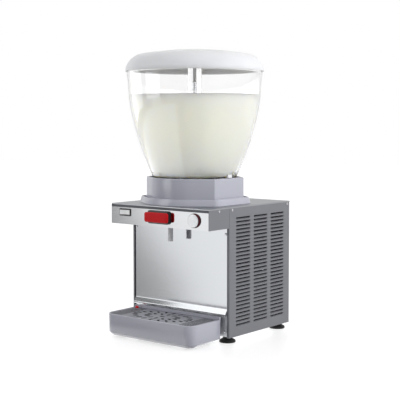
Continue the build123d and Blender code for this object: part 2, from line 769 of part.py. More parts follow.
def drink_fill():
    """The drink up to its level, with room for the evaporator and the turning agitator."""
    floor = Z_BOWL + BOWL_WALL
    filled = bell(BOWL_WALL + RUNNING, Z_DRINK) - upright(BOWL_RIM_R, (Z_BOWL, floor), AXIS)
    steps = (
        (NECK_R, (floor, Z_DOME + PADDLE_LIFT / 2)),
        (PADDLE_R + PADDLE_GAP, (floor, Z_DOME + PADDLE_LIFT + PADDLE_H + PADDLE_LIFT / 2)),
        (AGITATOR_R + TUBE_GAP, (floor, Z_DRINK)),
    )
    return filled - [upright(radius, z, AXIS) for radius, z in steps]


def dome(radius, base, drop):
    """Filled lid shape on a base circle, drawn in by a drop from the outer dome."""
    turn = (radius - LID_TURN_IN, Z_RIM + LID_TURN_H - drop)
    shoulder = (LID_R - LID_SHOULDER_IN - drop, Z_RIM + LID_SHOULDER_H - drop)
    crown = (0, Z_RIM + LID_SHOULDER_H + LID_CROWN - drop)
    edge = (radius, Z_RIM + LID_EDGE)
    side = ThreePointArc(edge, turn, shoulder)
    ball = (shoulder[0] ** 2 + LID_CROWN ** 2) / (2 * LID_CROWN)
    half_turn = asin(shoulder[0] / ball) / 2
    half = (ball * sin(half_turn), crown[1] - ball + ball * cos(half_turn))
    top = ThreePointArc(shoulder, half, crown)
    closing = Polyline(crown, (0, base), (radius, base), edge)
    return turned(Curve() + [side, top, closing], AXIS)


def lid():
    """Domed lid whose shoulder rests on the rim and whose skirt hangs round it."""
    outer = dome(LID_R, Z_RIM - LID_SKIRT, 0)
    inner = dome(BOWL_RIM_R - LID_SEAT, Z_RIM - LID_SKIRT, LID_T)
    rim_room = upright(BOWL_RIM_R + SLIDE, (Z_RIM - LID_SKIRT, Z_RIM), AXIS)
    return outer - inner - rim_room


# Agitator and its drive
def drive_shaft():
    """Shaft from the gear motor up the standpipe to the agitator's hub."""
    return upright(SHAFT_R, (Z_GEARBOX + GEARBOX_H / 2, Z_SHAFT), AXIS)


def agitator_tube():
    """Clear tube that hangs from the shaft's top round the standpipe."""
    low = Z_DOME + PADDLE_LIFT
    tube = ring(AGITATOR_R, AGITATOR_R - AGITATOR_WALL, (low, Z_SHAFT), AXIS)
    hub = upright(AGITATOR_R - AGITATOR_WALL, (Z_SHAFT - HUB_T, Z_SHAFT), AXIS)
    return tube + hub - upright(SHAFT_R, (Z_SHAFT - HUB_T, Z_SHAFT), AXIS)


def agitator_paddle():
    """Ring of flat paddles on the foot of the agitator tube."""
    z = (Z_DOME + PADDLE_LIFT, Z_DOME + PADDLE_LIFT + PADDLE_H)
    sleeve = ring(AGITATOR_R + PADDLE_T, AGITATOR_R, z, AXIS)
    blade = block((AGITATOR_R + PADDLE_T / 2, PADDLE_R), (-PADDLE_T / 2, PADDLE_T / 2), z)
    blades = [Pos(*AXIS, 0) * Rot(0, 0, 360 * n / PADDLES) * blade for n in range(PADDLES)]
    return sleeve + blades


def motor_bracket():
    """Plate hung under the cover on four standoffs."""
    half = BRACKET / 2
    plate = block(
        (AXIS[0] - half, AXIS[0] + half), (AXIS[1] - half, AXIS[1] + half), (Z_BRACKET - BRACKET_T, Z_BRACKET)
    )
    reach = half - 2 * STANDOFF_R
    legs = [
        upright(STANDOFF_R, (Z_BRACKET, Z_COVER), (AXIS[0] + x, AXIS[1] + y))
        for x in (-reach, reach)
        for y in (-reach, reach)
    ]
    return plate + legs - upright(SHAFT_R * 2, (Z_BRACKET - BRACKET_T, Z_BRACKET), AXIS)


def gear_motor():
    """Gearbox with the motor below it; the drive shaft plugs into its top."""
    half = GEARBOX / 2
    box = block(
        (AXIS[0] - half, AXIS[0] + half), (AXIS[1] - half, AXIS[1] + half), (Z_GEARBOX, Z_GEARBOX + GEARBOX_H)
    )
    box = fillet(box.edges().filter_by(Axis.Z), GEARBOX_H / 8)
    can = upright(MOTOR_R, (Z_GEARBOX - MOTOR_L, Z_GEARBOX), AXIS)
    socket = upright(SHAFT_R + RUNNING, (Z_GEARBOX + GEARBOX_H / 2, Z_GEARBOX + GEARBOX_H), AXIS)
    return box + can - socket


# Valve and spout
def outlet_seal():
    """Soft socket in the cover that takes the bowl's outlet and leads to the valve."""
    outer = ring(OUTLET_R + OUTLET_SOCKET - LOOSE, OUTLET_R + LOOSE, (Z_COVER, Z_FLANGE), OUTLET)
    foot = ring(OUTLET_R + OUTLET_SOCKET - LOOSE, OUTLET_BORE_R, (Z_VALVE + VALVE, Z_COVER), OUTLET)
    return outer + foot


def valve_body():
    """Valve block over the spout: an upright passage crossed by the plunger's bore."""
    half = VALVE / 2
    cube = block(
        (OUTLET[0] - half, OUTLET[0] + half), (OUTLET[1] - half, OUTLET[1] + half), (Z_VALVE, Z_VALVE + VALVE)
    )
    passage = upright(SPOUT_BORE_R, (Z_VALVE, Z_VALVE + VALVE), OUTLET)
    bore = rod(PLUNGER_R + RUNNING, (OUTLET[0] - PLUNGER_R, OUTLET[1], VALVE_Z), (half, OUTLET[1], VALVE_Z))
    return cube - passage - bore


def solenoid_coil():
    """Coil on the side of the valve block, with the plunger's bore."""
    start = (OUTLET[0] + VALVE / 2, OUTLET[1], VALVE_Z)
    end = (OUTLET[0] + VALVE / 2 + SOLENOID_L, OUTLET[1], VALVE_Z)
    deep = (OUTLET[0] - PLUNGER_R + PLUNGER_L + PLUNGER_STROKE + LOOSE, OUTLET[1], VALVE_Z)
    return rod(SOLENOID_R, start, end) - rod(PLUNGER_R + RUNNING, start, deep)


def valve_plunger():
    """Plunger that closes the passage at rest."""
    tip = OUTLET[0] - PLUNGER_R
    return rod(PLUNGER_R, (tip, OUTLET[1], VALVE_Z), (tip + PLUNGER_L, OUTLET[1], VALVE_Z))


def spout():
    """White nozzle under the valve with a flange above the header's floor."""
    tube = upright(SPOUT_R, (Z_HEADER - SPOUT_DROP, Z_VALVE), OUTLET)
    tip = tube.edges().group_by(Axis.Z)[0]
    tube = chamfer(tip, (SPOUT_R - SPOUT_BORE_R) / 2)
    seat = Z_HEADER + SHEET
    flange = upright(SPOUT_FLANGE_R, (seat, seat + SPOUT_FLANGE_T), OUTLET)
    return tube + flange - upright(SPOUT_BORE_R, (Z_HEADER - SPOUT_DROP, Z_VALVE), OUTLET)


# Controls
def bezel_cut(gap):
    """The button's sleeve where it passes through the fascia, grown by a gap."""
    width = BUTTON_W - 2 * BUTTON_CORE_INSET + 2 * (SLIDE + BEZEL_SLEEVE_T + gap)
    height = BUTTON_H - 2 * BUTTON_CORE_INSET + 2 * (SLIDE + BEZEL_SLEEVE_T + gap)
    plate = slot_plate(width, height, BUTTON_ROUND / 2, (Y_HEADER, Y_HEADER + BEZEL_DEPTH))
    return Pos(BUTTON_X, 0, Z_CONTROLS) * plate


def button_core(gap):
    """The button's core inside the bezel, grown by a gap."""
    width = BUTTON_W - 2 * BUTTON_CORE_INSET + 2 * gap
    height = BUTTON_H - 2 * BUTTON_CORE_INSET + 2 * gap
    front = Y_HEADER - BEZEL_PROUD - BUTTON_TRAVEL - LOOSE
    back = Y_HEADER + BEZEL_DEPTH - BUTTON_TRAVEL - LOOSE
    if gap:
        back = Y_HEADER + BEZEL_DEPTH
    return Pos(BUTTON_X, 0, Z_CONTROLS) * slot_plate(width, height, BUTTON_ROUND / 2, (front, back))


def button_bezel():
    """Black frame on the fascia with the sleeve that guides the button."""
    frame = slot_plate(BEZEL_W, BEZEL_H, BUTTON_ROUND, (Y_HEADER - BEZEL_PROUD, Y_HEADER))
    return Pos(BUTTON_X, 0, Z_CONTROLS) * frame + bezel_cut(0) - button_core(SLIDE)


def button_stem():
    """Stem on the button's back that works the switch."""
    start = Y_HEADER + BEZEL_DEPTH - BUTTON_TRAVEL - LOOSE
    end = Y_HEADER + BEZEL_DEPTH + STEM_L
    return rod(STEM_R, (BUTTON_X, start, Z_CONTROLS), (BUTTON_X, end, Z_CONTROLS))


def push_button():
    """Wide red button: a rounded plate, its core in the bezel and the stem to the switch."""
    back = Y_HEADER - BEZEL_PROUD - BUTTON_TRAVEL - LOOSE
    plate = slot_plate(BUTTON_W, BUTTON_H, BUTTON_ROUND, (back - BUTTON_T, back))
    rim = plate.faces().sort_by(Axis.Y)[0].edges()
    plate = fillet(rim, min(BUTTON_EDGE, BUTTON_T / 2))
    return Pos(BUTTON_X, 0, Z_CONTROLS) * plate + button_core(0) + button_stem()


def button_switch():
    """Snap switch behind the button, with a pocket for the stem's travel."""
    front = Y_HEADER + BEZEL_DEPTH
    case = block(
        (BUTTON_X - SWITCH_W / 2, BUTTON_X + SWITCH_W / 2),
        (front, front + SWITCH_D),
        (Z_CONTROLS - SWITCH_H / 2, Z_CONTROLS + SWITCH_H / 2),
    )
    deep = front + STEM_L + BUTTON_TRAVEL + SLIDE
    pocket = rod(STEM_R + SLIDE, (BUTTON_X, front, Z_CONTROLS), (BUTTON_X, deep, Z_CONTROLS))
    return case - pocket


def knob():
    """Tapered red knob and the shaft that it turns in the potentiometer."""
    back = Y_HEADER - LOOSE
    place = Plane(origin=(KNOB_X, back, Z_KNOB), z_dir=(0, -1, 0))
    grip = place * Cone(KNOB_R, KNOB_R - KNOB_TAPER, KNOB_L, align=(Align.CENTER, Align.CENTER, Align.MIN))
    front = back - KNOB_L
    well = rod(KNOB_CAP_R + RUNNING, (KNOB_X, front, Z_KNOB), (KNOB_X, front + KNOB_CAP_SINK, Z_KNOB))
    shaft_end = Y_HEADER + FASCIA_T + POT_D - POT_BACK - LOOSE
    shaft = rod(KNOB_SHAFT_R, (KNOB_X, back, Z_KNOB), (KNOB_X, shaft_end, Z_KNOB))
    return grip - well + shaft


def knob_cap():
    """Satin disc set into the knob's face."""
    seat = Y_HEADER - LOOSE - KNOB_L + KNOB_CAP_SINK
    disc = rod(KNOB_CAP_R, (KNOB_X, seat, Z_KNOB), (KNOB_X, seat - KNOB_CAP_T, Z_KNOB))
    return fillet(disc.edges().group_by(Axis.Y)[0], KNOB_CAP_T / 3)


def potentiometer():
    """Round control behind the fascia that carries the knob's shaft."""
    front = Y_HEADER + FASCIA_T
    can = rod(POT_R, (KNOB_X, front, Z_KNOB), (KNOB_X, front + POT_D, Z_KNOB))
    deep = front + POT_D - POT_BACK
    return can - rod(KNOB_SHAFT_R + RUNNING, (KNOB_X, front, Z_KNOB), (KNOB_X, deep, Z_KNOB))


def rocker_sleeve(gap, depth):
    """The rocker frame's sleeve, grown by a gap, from the fascia's face to a depth."""
    half_w = ROCKER_W / 2 + 2 * SLIDE + FRAME_WALL + gap
    half_h = ROCKER_H / 2 + SLIDE + FRAME_WALL + gap
    return block(
        (ROCKER_X - half_w, ROCKER_X + half_w),
        (Y_HEADER, Y_HEADER + depth),
        (Z_ROCKER - half_h, Z_ROCKER + half_h),
    )


def rocker_frame():
    """Switch housing with a raised rim on the fascia and holes for the rocker's pins."""
    width = ROCKER_W + 2 * FRAME_RIM
    height = ROCKER_H + 2 * FRAME_RIM
    rim = slot_plate(width, height, FRAME_RIM / 2, (Y_HEADER - FRAME_PROUD, Y_HEADER))
    body = Pos(ROCKER_X, 0, Z_ROCKER) * rim + rocker_sleeve(0, FRAME_DEPTH)
    room = block(
        (ROCKER_X - ROCKER_W / 2 - 2 * SLIDE, ROCKER_X + ROCKER_W / 2 + 2 * SLIDE),
        (Y_HEADER - FRAME_PROUD, Y_HEADER + FRAME_DEPTH - FRAME_WALL),
        (Z_ROCKER - ROCKER_H / 2 - SLIDE, Z_ROCKER + ROCKER_H / 2 + SLIDE),
    )
    return body - room - rocker_pin(RUNNING)


def rocker_pin(gap):
    """Pivot pin through the rocker, grown by a gap."""
    reach = ROCKER_H / 2 + SLIDE + FRAME_WALL / 2 + gap
    y = Y_HEADER + ROCKER_PIN_R
    return rod(ROCKER_PIN_R + gap, (ROCKER_X, y, Z_ROCKER - reach), (ROCKER_X, y, Z_ROCKER + reach))


def rocker():
    """White rocker, stored tipped to one of its two stops."""
    lift = ROCKER_W / 2 * sin(radians(ROCKER_TILT))
    front = Y_HEADER - FRAME_PROUD
    section = Polyline(
        (-ROCKER_W / 2, front - lift),
        (0, front),
        (ROCKER_W / 2, front - lift),
        (ROCKER_W / 2, front + ROCKER_T - lift),
        (0, front + ROCKER_T),
        (-ROCKER_W / 2, front + ROCKER_T - lift),
        close=True,
    )
    plate = Pos(ROCKER_X, 0, Z_ROCKER) * extrude(make_face(section), ROCKER_H / 2, both=True)
    pivot = Axis((ROCKER_X, Y_HEADER + ROCKER_PIN_R, 0), (0, 0, 1))
    return plate.rotate(pivot, ROCKER_TILT) + rocker_pin(0)


def fascia():
    """Brushed control plate between the cheeks, pierced for the three controls."""
    plate = block((-INNER_W, INNER_W), (Y_HEADER, Y_HEADER + FASCIA_T), (Z_HEADER, Z_COVER - SEAL_H))
    shaft = rod(
        KNOB_SHAFT_R + SLIDE,
        (KNOB_X, Y_HEADER, Z_KNOB),
        (KNOB_X, Y_HEADER + FASCIA_T, Z_KNOB),
    )
    return plate - bezel_cut(RUNNING) - rocker_sleeve(RUNNING, FRAME_DEPTH) - shaft


def fascia_seal():
    """Dark strip between the fascia's top edge and the cover."""
    start = Y_HEADER + SEAL_INSET
    return block((-INNER_W, INNER_W), (start, start + SEAL_D), (Z_COVER - SEAL_H, Z_COVER))


def control_board():
    """Circuit board on four posts in the header, with its tallest components."""
    right = OUTLET[0] - VALVE / 2 - BOARD_GAP
    left = right - BOARD_W
    back = Y_FRONT - BOARD_GAP
    front = back - BOARD_D
    low = Z_HEADER + SHEET
    board = block((left, right), (front, back), (low + BOARD_LIFT, low + BOARD_LIFT + BOARD_T))
    edge = BOARD_POST_R + LOOSE
    posts = [
        upright(BOARD_POST_R, (low, low + BOARD_LIFT), (x, y))
        for x in (left + edge, right - edge)
        for y in (front + edge, back - edge)
    ]
    deck = low + BOARD_LIFT + BOARD_T
    pitch = BOARD_W / RELAYS
    relay = Box(RELAY_W, RELAY_D, RELAY_H)
    relays = [
        Pos(left + pitch * (number + 0.5), (front + back) / 2, deck + RELAY_H / 2) * relay
        for number in range(RELAYS)
    ]
    return board + posts + relays


# Refrigeration
def compressor():
    """Hermetic shell on its foot plate."""
    half = COMPRESSOR_PLATE / 2
    x, y = COMPRESSOR
    low = Z_COMPRESSOR
    plate = block((x - half, x + half), (y - half, y + half), (low, low + COMPRESSOR_PLATE_T))
    plate = fillet(plate.edges().filter_by(Axis.Z), MOUNT_R)
    shell = upright(COMPRESSOR_R, (low + COMPRESSOR_PLATE_T, Z_SHELL_TOP), COMPRESSOR)
    shell = fillet(shell.edges().group_by(Axis.Z)[-1], COMPRESSOR_CROWN)
    return plate + shell


def compressor_mounts():
    """Rubber mounts under the corners of the compressor's plate."""
    reach = COMPRESSOR_PLATE / 2 - MOUNT_R
    mounts = [
        upright(MOUNT_R, (Z_FLOOR, Z_COMPRESSOR), (COMPRESSOR[0] + x, COMPRESSOR[1] + y))
        for x in (-reach, reach)
        for y in (-reach, reach)
    ]
    return Compound(children=[Part(mount.wrapped) for mount in mounts])


def condenser_run_heights():
    """Heights of the condenser tube's straight runs."""
    pitch = CONDENSER_H / CONDENSER_RUNS
    return [Z_FLOOR + pitch * (run + 0.5) for run in range(CONDENSER_RUNS)], pitch


def condenser_stub():
    """Where the condenser tube's ends stop, in front of the front end plate."""
    return CONDENSER_Y - CONDENSER_L - 2 * END_FIN_T


def condenser_fins():
    """Fin plates and two thicker end plates, drilled for the tube."""
    heights, _ = condenser_run_heights()
    middle_x = CONDENSER_X + CONDENSER_T / 2
    plan = Pos(middle_x, Z_FLOOR + CONDENSER_H / 2) * Rectangle(CONDENSER_T, CONDENSER_H)
    holes = [Pos(middle_x, z) * Circle(COIL_TUBE_R + FOAM_GAP / 2) for z in heights]
    face = plan - holes
    count = int(CONDENSER_L / FIN_PITCH)
    plates = []
    for number in range(count + 1):
        thick = END_FIN_T if number in (0, count) else FIN_T
        y = CONDENSER_Y - number * CONDENSER_L / count
        upright_face = Plane(origin=(0, y, 0), x_dir=(1, 0, 0), z_dir=(0, -1, 0)) * face
        plates.append(extrude(upright_face, thick / 2, both=True))
    return Compound(children=[Part(plate.wrapped) for plate in plates])


def condenser_tube():
    """One tube that runs to and fro through the fins."""
    heights, pitch = condenser_run_heights()
    over = pitch / 2 + END_FIN_T
    front = CONDENSER_Y - CONDENSER_L - over
    back = CONDENSER_Y + over
    x = CONDENSER_X + CONDENSER_T / 2
    points = [(x, condenser_stub(), heights[0])]
    at_back = False
    for low, high in zip(heights, heights[1:]):
        at_back = not at_back
        turn = back if at_back else front
        points.append((x, turn, low))
        points.append((x, turn, high))
    end = condenser_stub() if at_back else CONDENSER_Y + 2 * END_FIN_T
    points.append((x, end, heights[-1]))
    return pipe(COIL_TUBE_R, points, pitch / 2 - FOAM_GAP)


def fan_shroud():
    """Plate on the condenser's face with a ring round the fan."""
    y, z = FAN_CENTRE
    plate = block(
        (SHROUD_X, SHROUD_X + SHROUD_T),
        (CONDENSER_Y - CONDENSER_L, CONDENSER_Y),
        (Z_FLOOR, Z_FLOOR + CONDENSER_H),
    )
    inner = FAN_R + FAN_GAP
    end = SHROUD_X + SHROUD_T + FAN_DEPTH
    collar = rod(inner + SHROUD_RING, (SHROUD_X, y, z), (end, y, z))
    return plate + collar - rod(inner, (SHROUD_X, y, z), (end, y, z))


def fan_blade():
    """Five pitched blades on a hub, with the shaft that turns in the motor."""
    y, z = FAN_CENTRE
    hub = rod(FAN_HUB_R, (FAN_X, y, z), (FAN_X + FAN_DEPTH, y, z))
    root = FAN_HUB_R - FAN_BLADE_T
    blade = Rot(0, 0, 90 - FAN_PITCH) * Box(FAN_CHORD, FAN_BLADE_T, FAN_R - root)
    blade = Pos(FAN_X + FAN_DEPTH / 2, 0, (root + FAN_R) / 2) * blade
    blades = [Pos(0, y, z) * Rot(360 * n / FAN_BLADES, 0, 0) * blade for n in range(FAN_BLADES)]
    shaft = rod(FAN_SHAFT_R, (FAN_X, y, z), (FAN_MOTOR_X + FAN_SHAFT_GRIP, y, z))
    return hub + blades + shaft


def fan_motor():
    """Fan motor on a pedestal from the base pan."""
    y, z = FAN_CENTRE
    can = rod(FAN_MOTOR_R, (FAN_MOTOR_X, y, z), (FAN_MOTOR_X + FAN_MOTOR_L, y, z))
    bore = rod(FAN_SHAFT_R + RUNNING, (FAN_MOTOR_X, y, z), (FAN_MOTOR_X + FAN_SHAFT_GRIP + LOOSE, y, z))
    post = block(
        (FAN_MOTOR_X, FAN_MOTOR_X + FAN_MOTOR_L),
        (y - PEDESTAL / 2, y + PEDESTAL / 2),
        (Z_FLOOR, z),
    )
    return can + post - bore


def discharge_pipe():
    """Pipe from the compressor's top to the upper end of the condenser tube."""
    x, y = COMPRESSOR
    x_end = CONDENSER_X + CONDENSER_T / 2
    y_end = condenser_stub()
    y_drop = y_end - PIPE_BEND * 1.5
    low = condenser_run_heights()[0][-1]
    high = max(Z_SHELL_TOP, Z_FLOOR + CONDENSER_H) + PIPE_RISE
    points = (
        (x, y, Z_SHELL_TOP),
        (x, y, high),
        (x_end, y, high),
        (x_end, y_drop, high),
        (x_end, y_drop, low),
        (x_end, y_end, low),
    )
    return pipe(PIPE_R, points, PIPE_BEND)


def suction_pipe():
    """Pipe from the evaporator's flange down to the compressor's shell."""
    x, y = PIPES[0]
    x_end = COMPRESSOR[0] + SUCTION_X
    y_end = COMPRESSOR[1]
    high = Z_SHELL_TOP + SUCTION_RISE
    points = ((x, y, Z_FLANGE), (x, y, high), (x_end, y_end, high), (x_end, y_end, Z_SHELL_TOP))
    return pipe(PIPE_R, points, PIPE_BEND)


def filter_drier():
    """Liquid line from the condenser tube's lower end, through the drier, up to the evaporator."""
    x, y = PIPES[1]
    x_low = CONDENSER_X + CONDENSER_T / 2
    x_up = x_low + DRIER_REACH
    y_end = condenser_stub()
    y_low = y_end - PIPE_BEND * 1.5
    low = condenser_run_heights()[0][0]
    high = Z_SHELL_TOP + SUCTION_RISE
    points = (
        (x_low, y_end, low),
        (x_low, y_low, low),
        (x_up, y_low, low),
        (x_up, y_low, high),
        (x, y, high),
        (x, y, Z_FLANGE),
    )
    line = pipe(LINE_R, points, PIPE_BEND)
    middle = (low + high) / 2
    drier = upright(DRIER_R, (middle - DRIER_L / 2, middle + DRIER_L / 2), (x_up, y_low))
    return line + fillet(drier.edges(), DRIER_ROUND)


# Drip tray
def tray_plan(inset):
    """The tray's plan drawn in by an inset, with larger corners at the front."""
    width = TRAY_W - 2 * inset
    depth = TRAY_BACK - Y_TRAY - 2 * inset
    face = Pos(0, (TRAY_BACK + Y_TRAY) / 2) * Rectangle(width, depth)
    corners = face.vertices().sort_by(Axis.Y)
    face = fillet(corners[:2], max(TRAY_ROUND - inset, TRAY_RIM))
    corners = face.vertices().sort_by(Axis.Y)
    return fillet(corners[-2:], max(TRAY_BACK_ROUND - inset, TRAY_RIM))


def tray_prism(inset, z):
    """Upright prism on the tray's plan."""
    return extrude(Pos(0, 0, z[0]) * tray_plan(inset), z[1] - z[0])


def tray_back():
    """Raised rear edge of the tray, with its two ends rounded down to the rim."""
    rise = (TRAY_TOP, TRAY_TOP + TRAY_BACK_RISE)
    behind = block((-TRAY_W, TRAY_W), (TRAY_BACK - TRAY_BACK_ROUND, TRAY_BACK), rise)
    wall = (tray_prism(0, rise) - tray_prism(TRAY_RIM, rise)) & behind
    ends = wall.edges().filter_by(Axis.X).group_by(Axis.Y)[0]
    return fillet(ends.group_by(Axis.Z)[-1], TRAY_RISE_ROUND)


def drip_tray():
    """Open tray with drawn-in sides, a raised rear edge, a ledge for the grille and a channel below."""
    waist = TRAY_LIFT + TRAY_CHAMFER
    levels = ((TRAY_LIFT, TRAY_DRAFT + TRAY_CHAMFER), (waist, TRAY_DRAFT), (TRAY_TOP, 0))
    plans = [Pos(0, 0, z) * tray_plan(inset) for z, inset in levels]
    body = loft(plans[:2]) + loft(plans[1:])
    wall = TRAY_DRAFT + TRAY_RIM + TRAY_LEDGE
    room = tray_prism(wall, (TRAY_BED, TRAY_TOP)) + tray_prism(TRAY_RIM, (GRILLE_Z, TRAY_TOP))
    half = TRAY_W / 2 - TRAY_DRAFT - 2 * TRAY_CHAMFER
    start = Y_TRAY + TRAY_DRAFT + 2 * TRAY_CHAMFER
    channel = block((-half, half), (start, TRAY_BACK), (TRAY_LIFT, TRAY_UNDER))
    return body - room - channel + tray_back()


def tray_support():
    """Bracket on the base pan's front flange with two tongues under the tray."""
    top = TRAY_UNDER - LOOSE
    reach = TONGUE_X + TONGUE_W / 2
    leg = block((-reach, reach), (Y_PAN - SUPPORT_T, Y_PAN), (top - TONGUE_T, top - TONGUE_T + SUPPORT_H))
    tongues = [
        block((x - TONGUE_W / 2, x + TONGUE_W / 2), (Y_TRAY + TONGUE_SHORT, Y_PAN), (top - TONGUE_T, top))
        for x in (-TONGUE_X, TONGUE_X)
    ]
    return leg + tongues


def float_place():
    """Middle of the float, in the tray's rear left corner."""
    wall = TRAY_DRAFT + TRAY_RIM + TRAY_LEDGE
    return (-TRAY_W / 2 + wall + FLOAT_R + 2 * LOOSE, TRAY_BACK - wall - FLOAT_R - 2 * LOOSE)


def tray_float():
    """Red float with a stem and a cap that shows above the grille."""
    place = float_place()
    body = upright(FLOAT_R, (TRAY_BED, GRILLE_Z - FLOAT_TRAVEL - SLIDE), place)
    stem = upright(FLOAT_CAP_R, (TRAY_BED, GRILLE_TOP + FLOAT_PROUD), place)
    return body + fillet(stem.edges().group_by(Axis.Z)[-1], FLOAT_CAP_R / 3)


def end_slot(x):
    """Straight slot along the tray's depth, cut short where the float's hole stands in its way."""
    wall = TRAY_DRAFT + TRAY_RIM + TRAY_LEDGE
    float_x, float_y = float_place()
    clear = FLOAT_R + END_SLOT_MARGIN
    front = Y_TRAY + wall + END_SLOT_MARGIN
    back = TRAY_BACK - wall - END_SLOT_MARGIN
    if abs(x - float_x) < clear:
        back = float_y - clear
    return Pos(x, (front + back) / 2) * Rot(0, 0, 90) * SlotOverall(back - front, END_SLOT_W)


def petal(radius, turn):
    """Short slot that points away from the middle of the grille, on a ring stretched sideways."""
    x = PETAL_STRETCH * radius * cos(turn)
    y = radius * sin(turn)
    middle_y = (TRAY_BACK + Y_TRAY) / 2
    return Pos(x, middle_y + y) * Rot(0, 0, degrees(atan2(y, x))) * SlotOverall(PETAL_L, PETAL_W)


def drip_grille():
    """Flat grille with straight slots at both ends and rings of short slots in the middle."""
    cuts = []
    for side in (-1, 1):
        for number in range(END_SLOTS):
            inward = TRAY_DRAFT + TRAY_RIM + TRAY_LEDGE + END_SLOT_MARGIN + (number + 0.5) * END_SLOT_PITCH
            cuts.append(end_slot(side * (TRAY_W / 2 - inward)))
    for radius, count in zip(PETAL_RADII, PETAL_COUNTS):
        cuts += [petal(radius, 2 * pi * (number + 0.5) / count) for number in range(count)]
    cuts.append(Pos(0, (TRAY_BACK + Y_TRAY) / 2) * SlotOverall(PETAL_L, PETAL_W))
    cuts.append(Pos(*float_place()) * Circle(FLOAT_CAP_R + 3 * SLIDE))
    plate = tray_plan(TRAY_RIM + SLIDE)
    return extrude(Pos(0, 0, GRILLE_Z) * (plate - cuts), GRILLE_T)


# Feet
def foot(place):
    """Levelling foot: a broad disc, a neck under the base pan and a stud in the boss."""
    shoulder = FOOT_DISC_H + (Z_PAN - FOOT_DISC_H) / 2
    outline = Polyline(
        (0, 0),
        (FOOT_R, 0),
        (FOOT_R, FOOT_DISC_H),
        (FOOT_NECK_R, shoulder),
        (FOOT_NECK_R, Z_PAN),
        (FOOT_STUD_R, Z_PAN),
        (FOOT_STUD_R, Z_FLOOR + FOOT_STUD_L),
        (0, Z_FLOOR + FOOT_STUD_L),
        close=True,
    )
    return turned(outline, place)


PIECES = (
    base_pan, left_panel, right_panel, back_panel, front_panel, header_shell, top_cover, fascia,
    fascia_seal, casing_screws, power_inlet, collar_base, collar_ring, foam_base, evaporator,
    evaporator_coil, bowl_seal, shaft_bush, bowl, drink_fill, lid, drive_shaft, agitator_tube,
    agitator_paddle, motor_bracket, gear_motor, outlet_seal, valve_body, solenoid_coil, valve_plunger,
    spout, button_bezel, push_button, button_switch, knob, knob_cap, potentiometer, rocker_frame,
    rocker, control_board, compressor, compressor_mounts, condenser_fins, condenser_tube, fan_shroud,
    fan_blade, fan_motor, discharge_pipe, suction_pipe, filter_drier, drip_tray, tray_support,
    tray_float, drip_grille,
)


def main():
    """Write one file for each piece."""
    os.makedirs("parts", exist_ok=True)
    for piece in PIECES:
        export_step(piece(), f"parts/{piece.__name__}.step")
    for name, place in FOOT_PLACES.items():
        export_step(foot(place), f"parts/{name}.step")


main()
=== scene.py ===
"""Looks of a cold drink dispenser: a chilled bell-shaped bowl on a louvred steel cabinet.

Lengths are in millimetres and become metres where a mesh is made. The front is -Y, +Z is up.
"""
import logging
import math
from dataclasses import dataclass
from enum import Enum
from functools import cache
from typing import Sequence

import bmesh
import bpy
import numpy as np
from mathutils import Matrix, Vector


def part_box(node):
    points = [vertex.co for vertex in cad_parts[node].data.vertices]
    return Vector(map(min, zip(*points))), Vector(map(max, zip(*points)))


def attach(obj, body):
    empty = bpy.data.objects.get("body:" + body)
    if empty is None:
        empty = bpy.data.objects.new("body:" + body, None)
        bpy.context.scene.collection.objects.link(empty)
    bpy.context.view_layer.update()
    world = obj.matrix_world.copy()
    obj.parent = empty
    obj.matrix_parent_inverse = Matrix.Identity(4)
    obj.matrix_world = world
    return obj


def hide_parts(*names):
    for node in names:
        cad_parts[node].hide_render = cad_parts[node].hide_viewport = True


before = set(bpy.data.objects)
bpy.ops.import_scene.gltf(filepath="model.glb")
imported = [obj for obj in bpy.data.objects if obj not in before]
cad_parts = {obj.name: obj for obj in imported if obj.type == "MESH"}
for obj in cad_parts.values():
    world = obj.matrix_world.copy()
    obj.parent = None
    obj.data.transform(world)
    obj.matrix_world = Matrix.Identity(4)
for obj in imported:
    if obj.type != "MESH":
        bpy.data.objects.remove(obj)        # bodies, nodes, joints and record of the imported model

MM = 0.001
FULL_TURN = 2.0 * math.pi
MERGE_WITHIN = 0.001 * MM
SHARP_ANGLE = math.radians(32.0)
NOISE_SPAN = (0.3, 0.7)
LOG = logging.getLogger("dispenser")
Corner = tuple[float, float, float]
Socket = int | str
Feed = tuple[bpy.types.Node, Socket]


# Colours and nodes
def linear(colour: str) -> tuple[float, float, float, float]:
    """Turn an sRGB hex colour into linear red, green, blue and a full alpha.

    Args:
        colour: hex colour such as "#8a8c90".

    Returns:
        The four channels that a shader socket takes.
    """
    channels = np.array([int(colour[place:place + 2], 16) / 255.0 for place in (1, 3, 5)])
    bright = ((channels + 0.055) / 1.055) ** 2.4
    return (*np.where(channels <= 0.04045, channels / 12.92, bright).tolist(), 1.0)


def add_node(
    tree: bpy.types.NodeTree,
    kind: str,
    values: dict[Socket, object] | None = None,
    links: dict[Socket, Feed] | None = None,
    **settings: object,
) -> bpy.types.Node:
    """Add one node with its settings, its sockets' values and its links.

    Args:
        tree: node tree that gets the node.
        kind: Blender's name of the node's class.
        values: value of each input socket that is set directly.
        links: for each linked input, the node and the output that feed it.
        settings: the node's own properties.

    Returns:
        The new node.
    """
    node = tree.nodes.new(kind)
    for key, value in settings.items():
        setattr(node, key, value)
    for socket, value in (values or {}).items():
        node.inputs[socket].default_value = value
    for socket, (source, output) in (links or {}).items():
        tree.links.new(source.outputs[output], node.inputs[socket])
    return node


def per_metre(size: float) -> float:
    """Pattern scale for features of a size in millimetres."""
    return 1.0 / (size * MM)


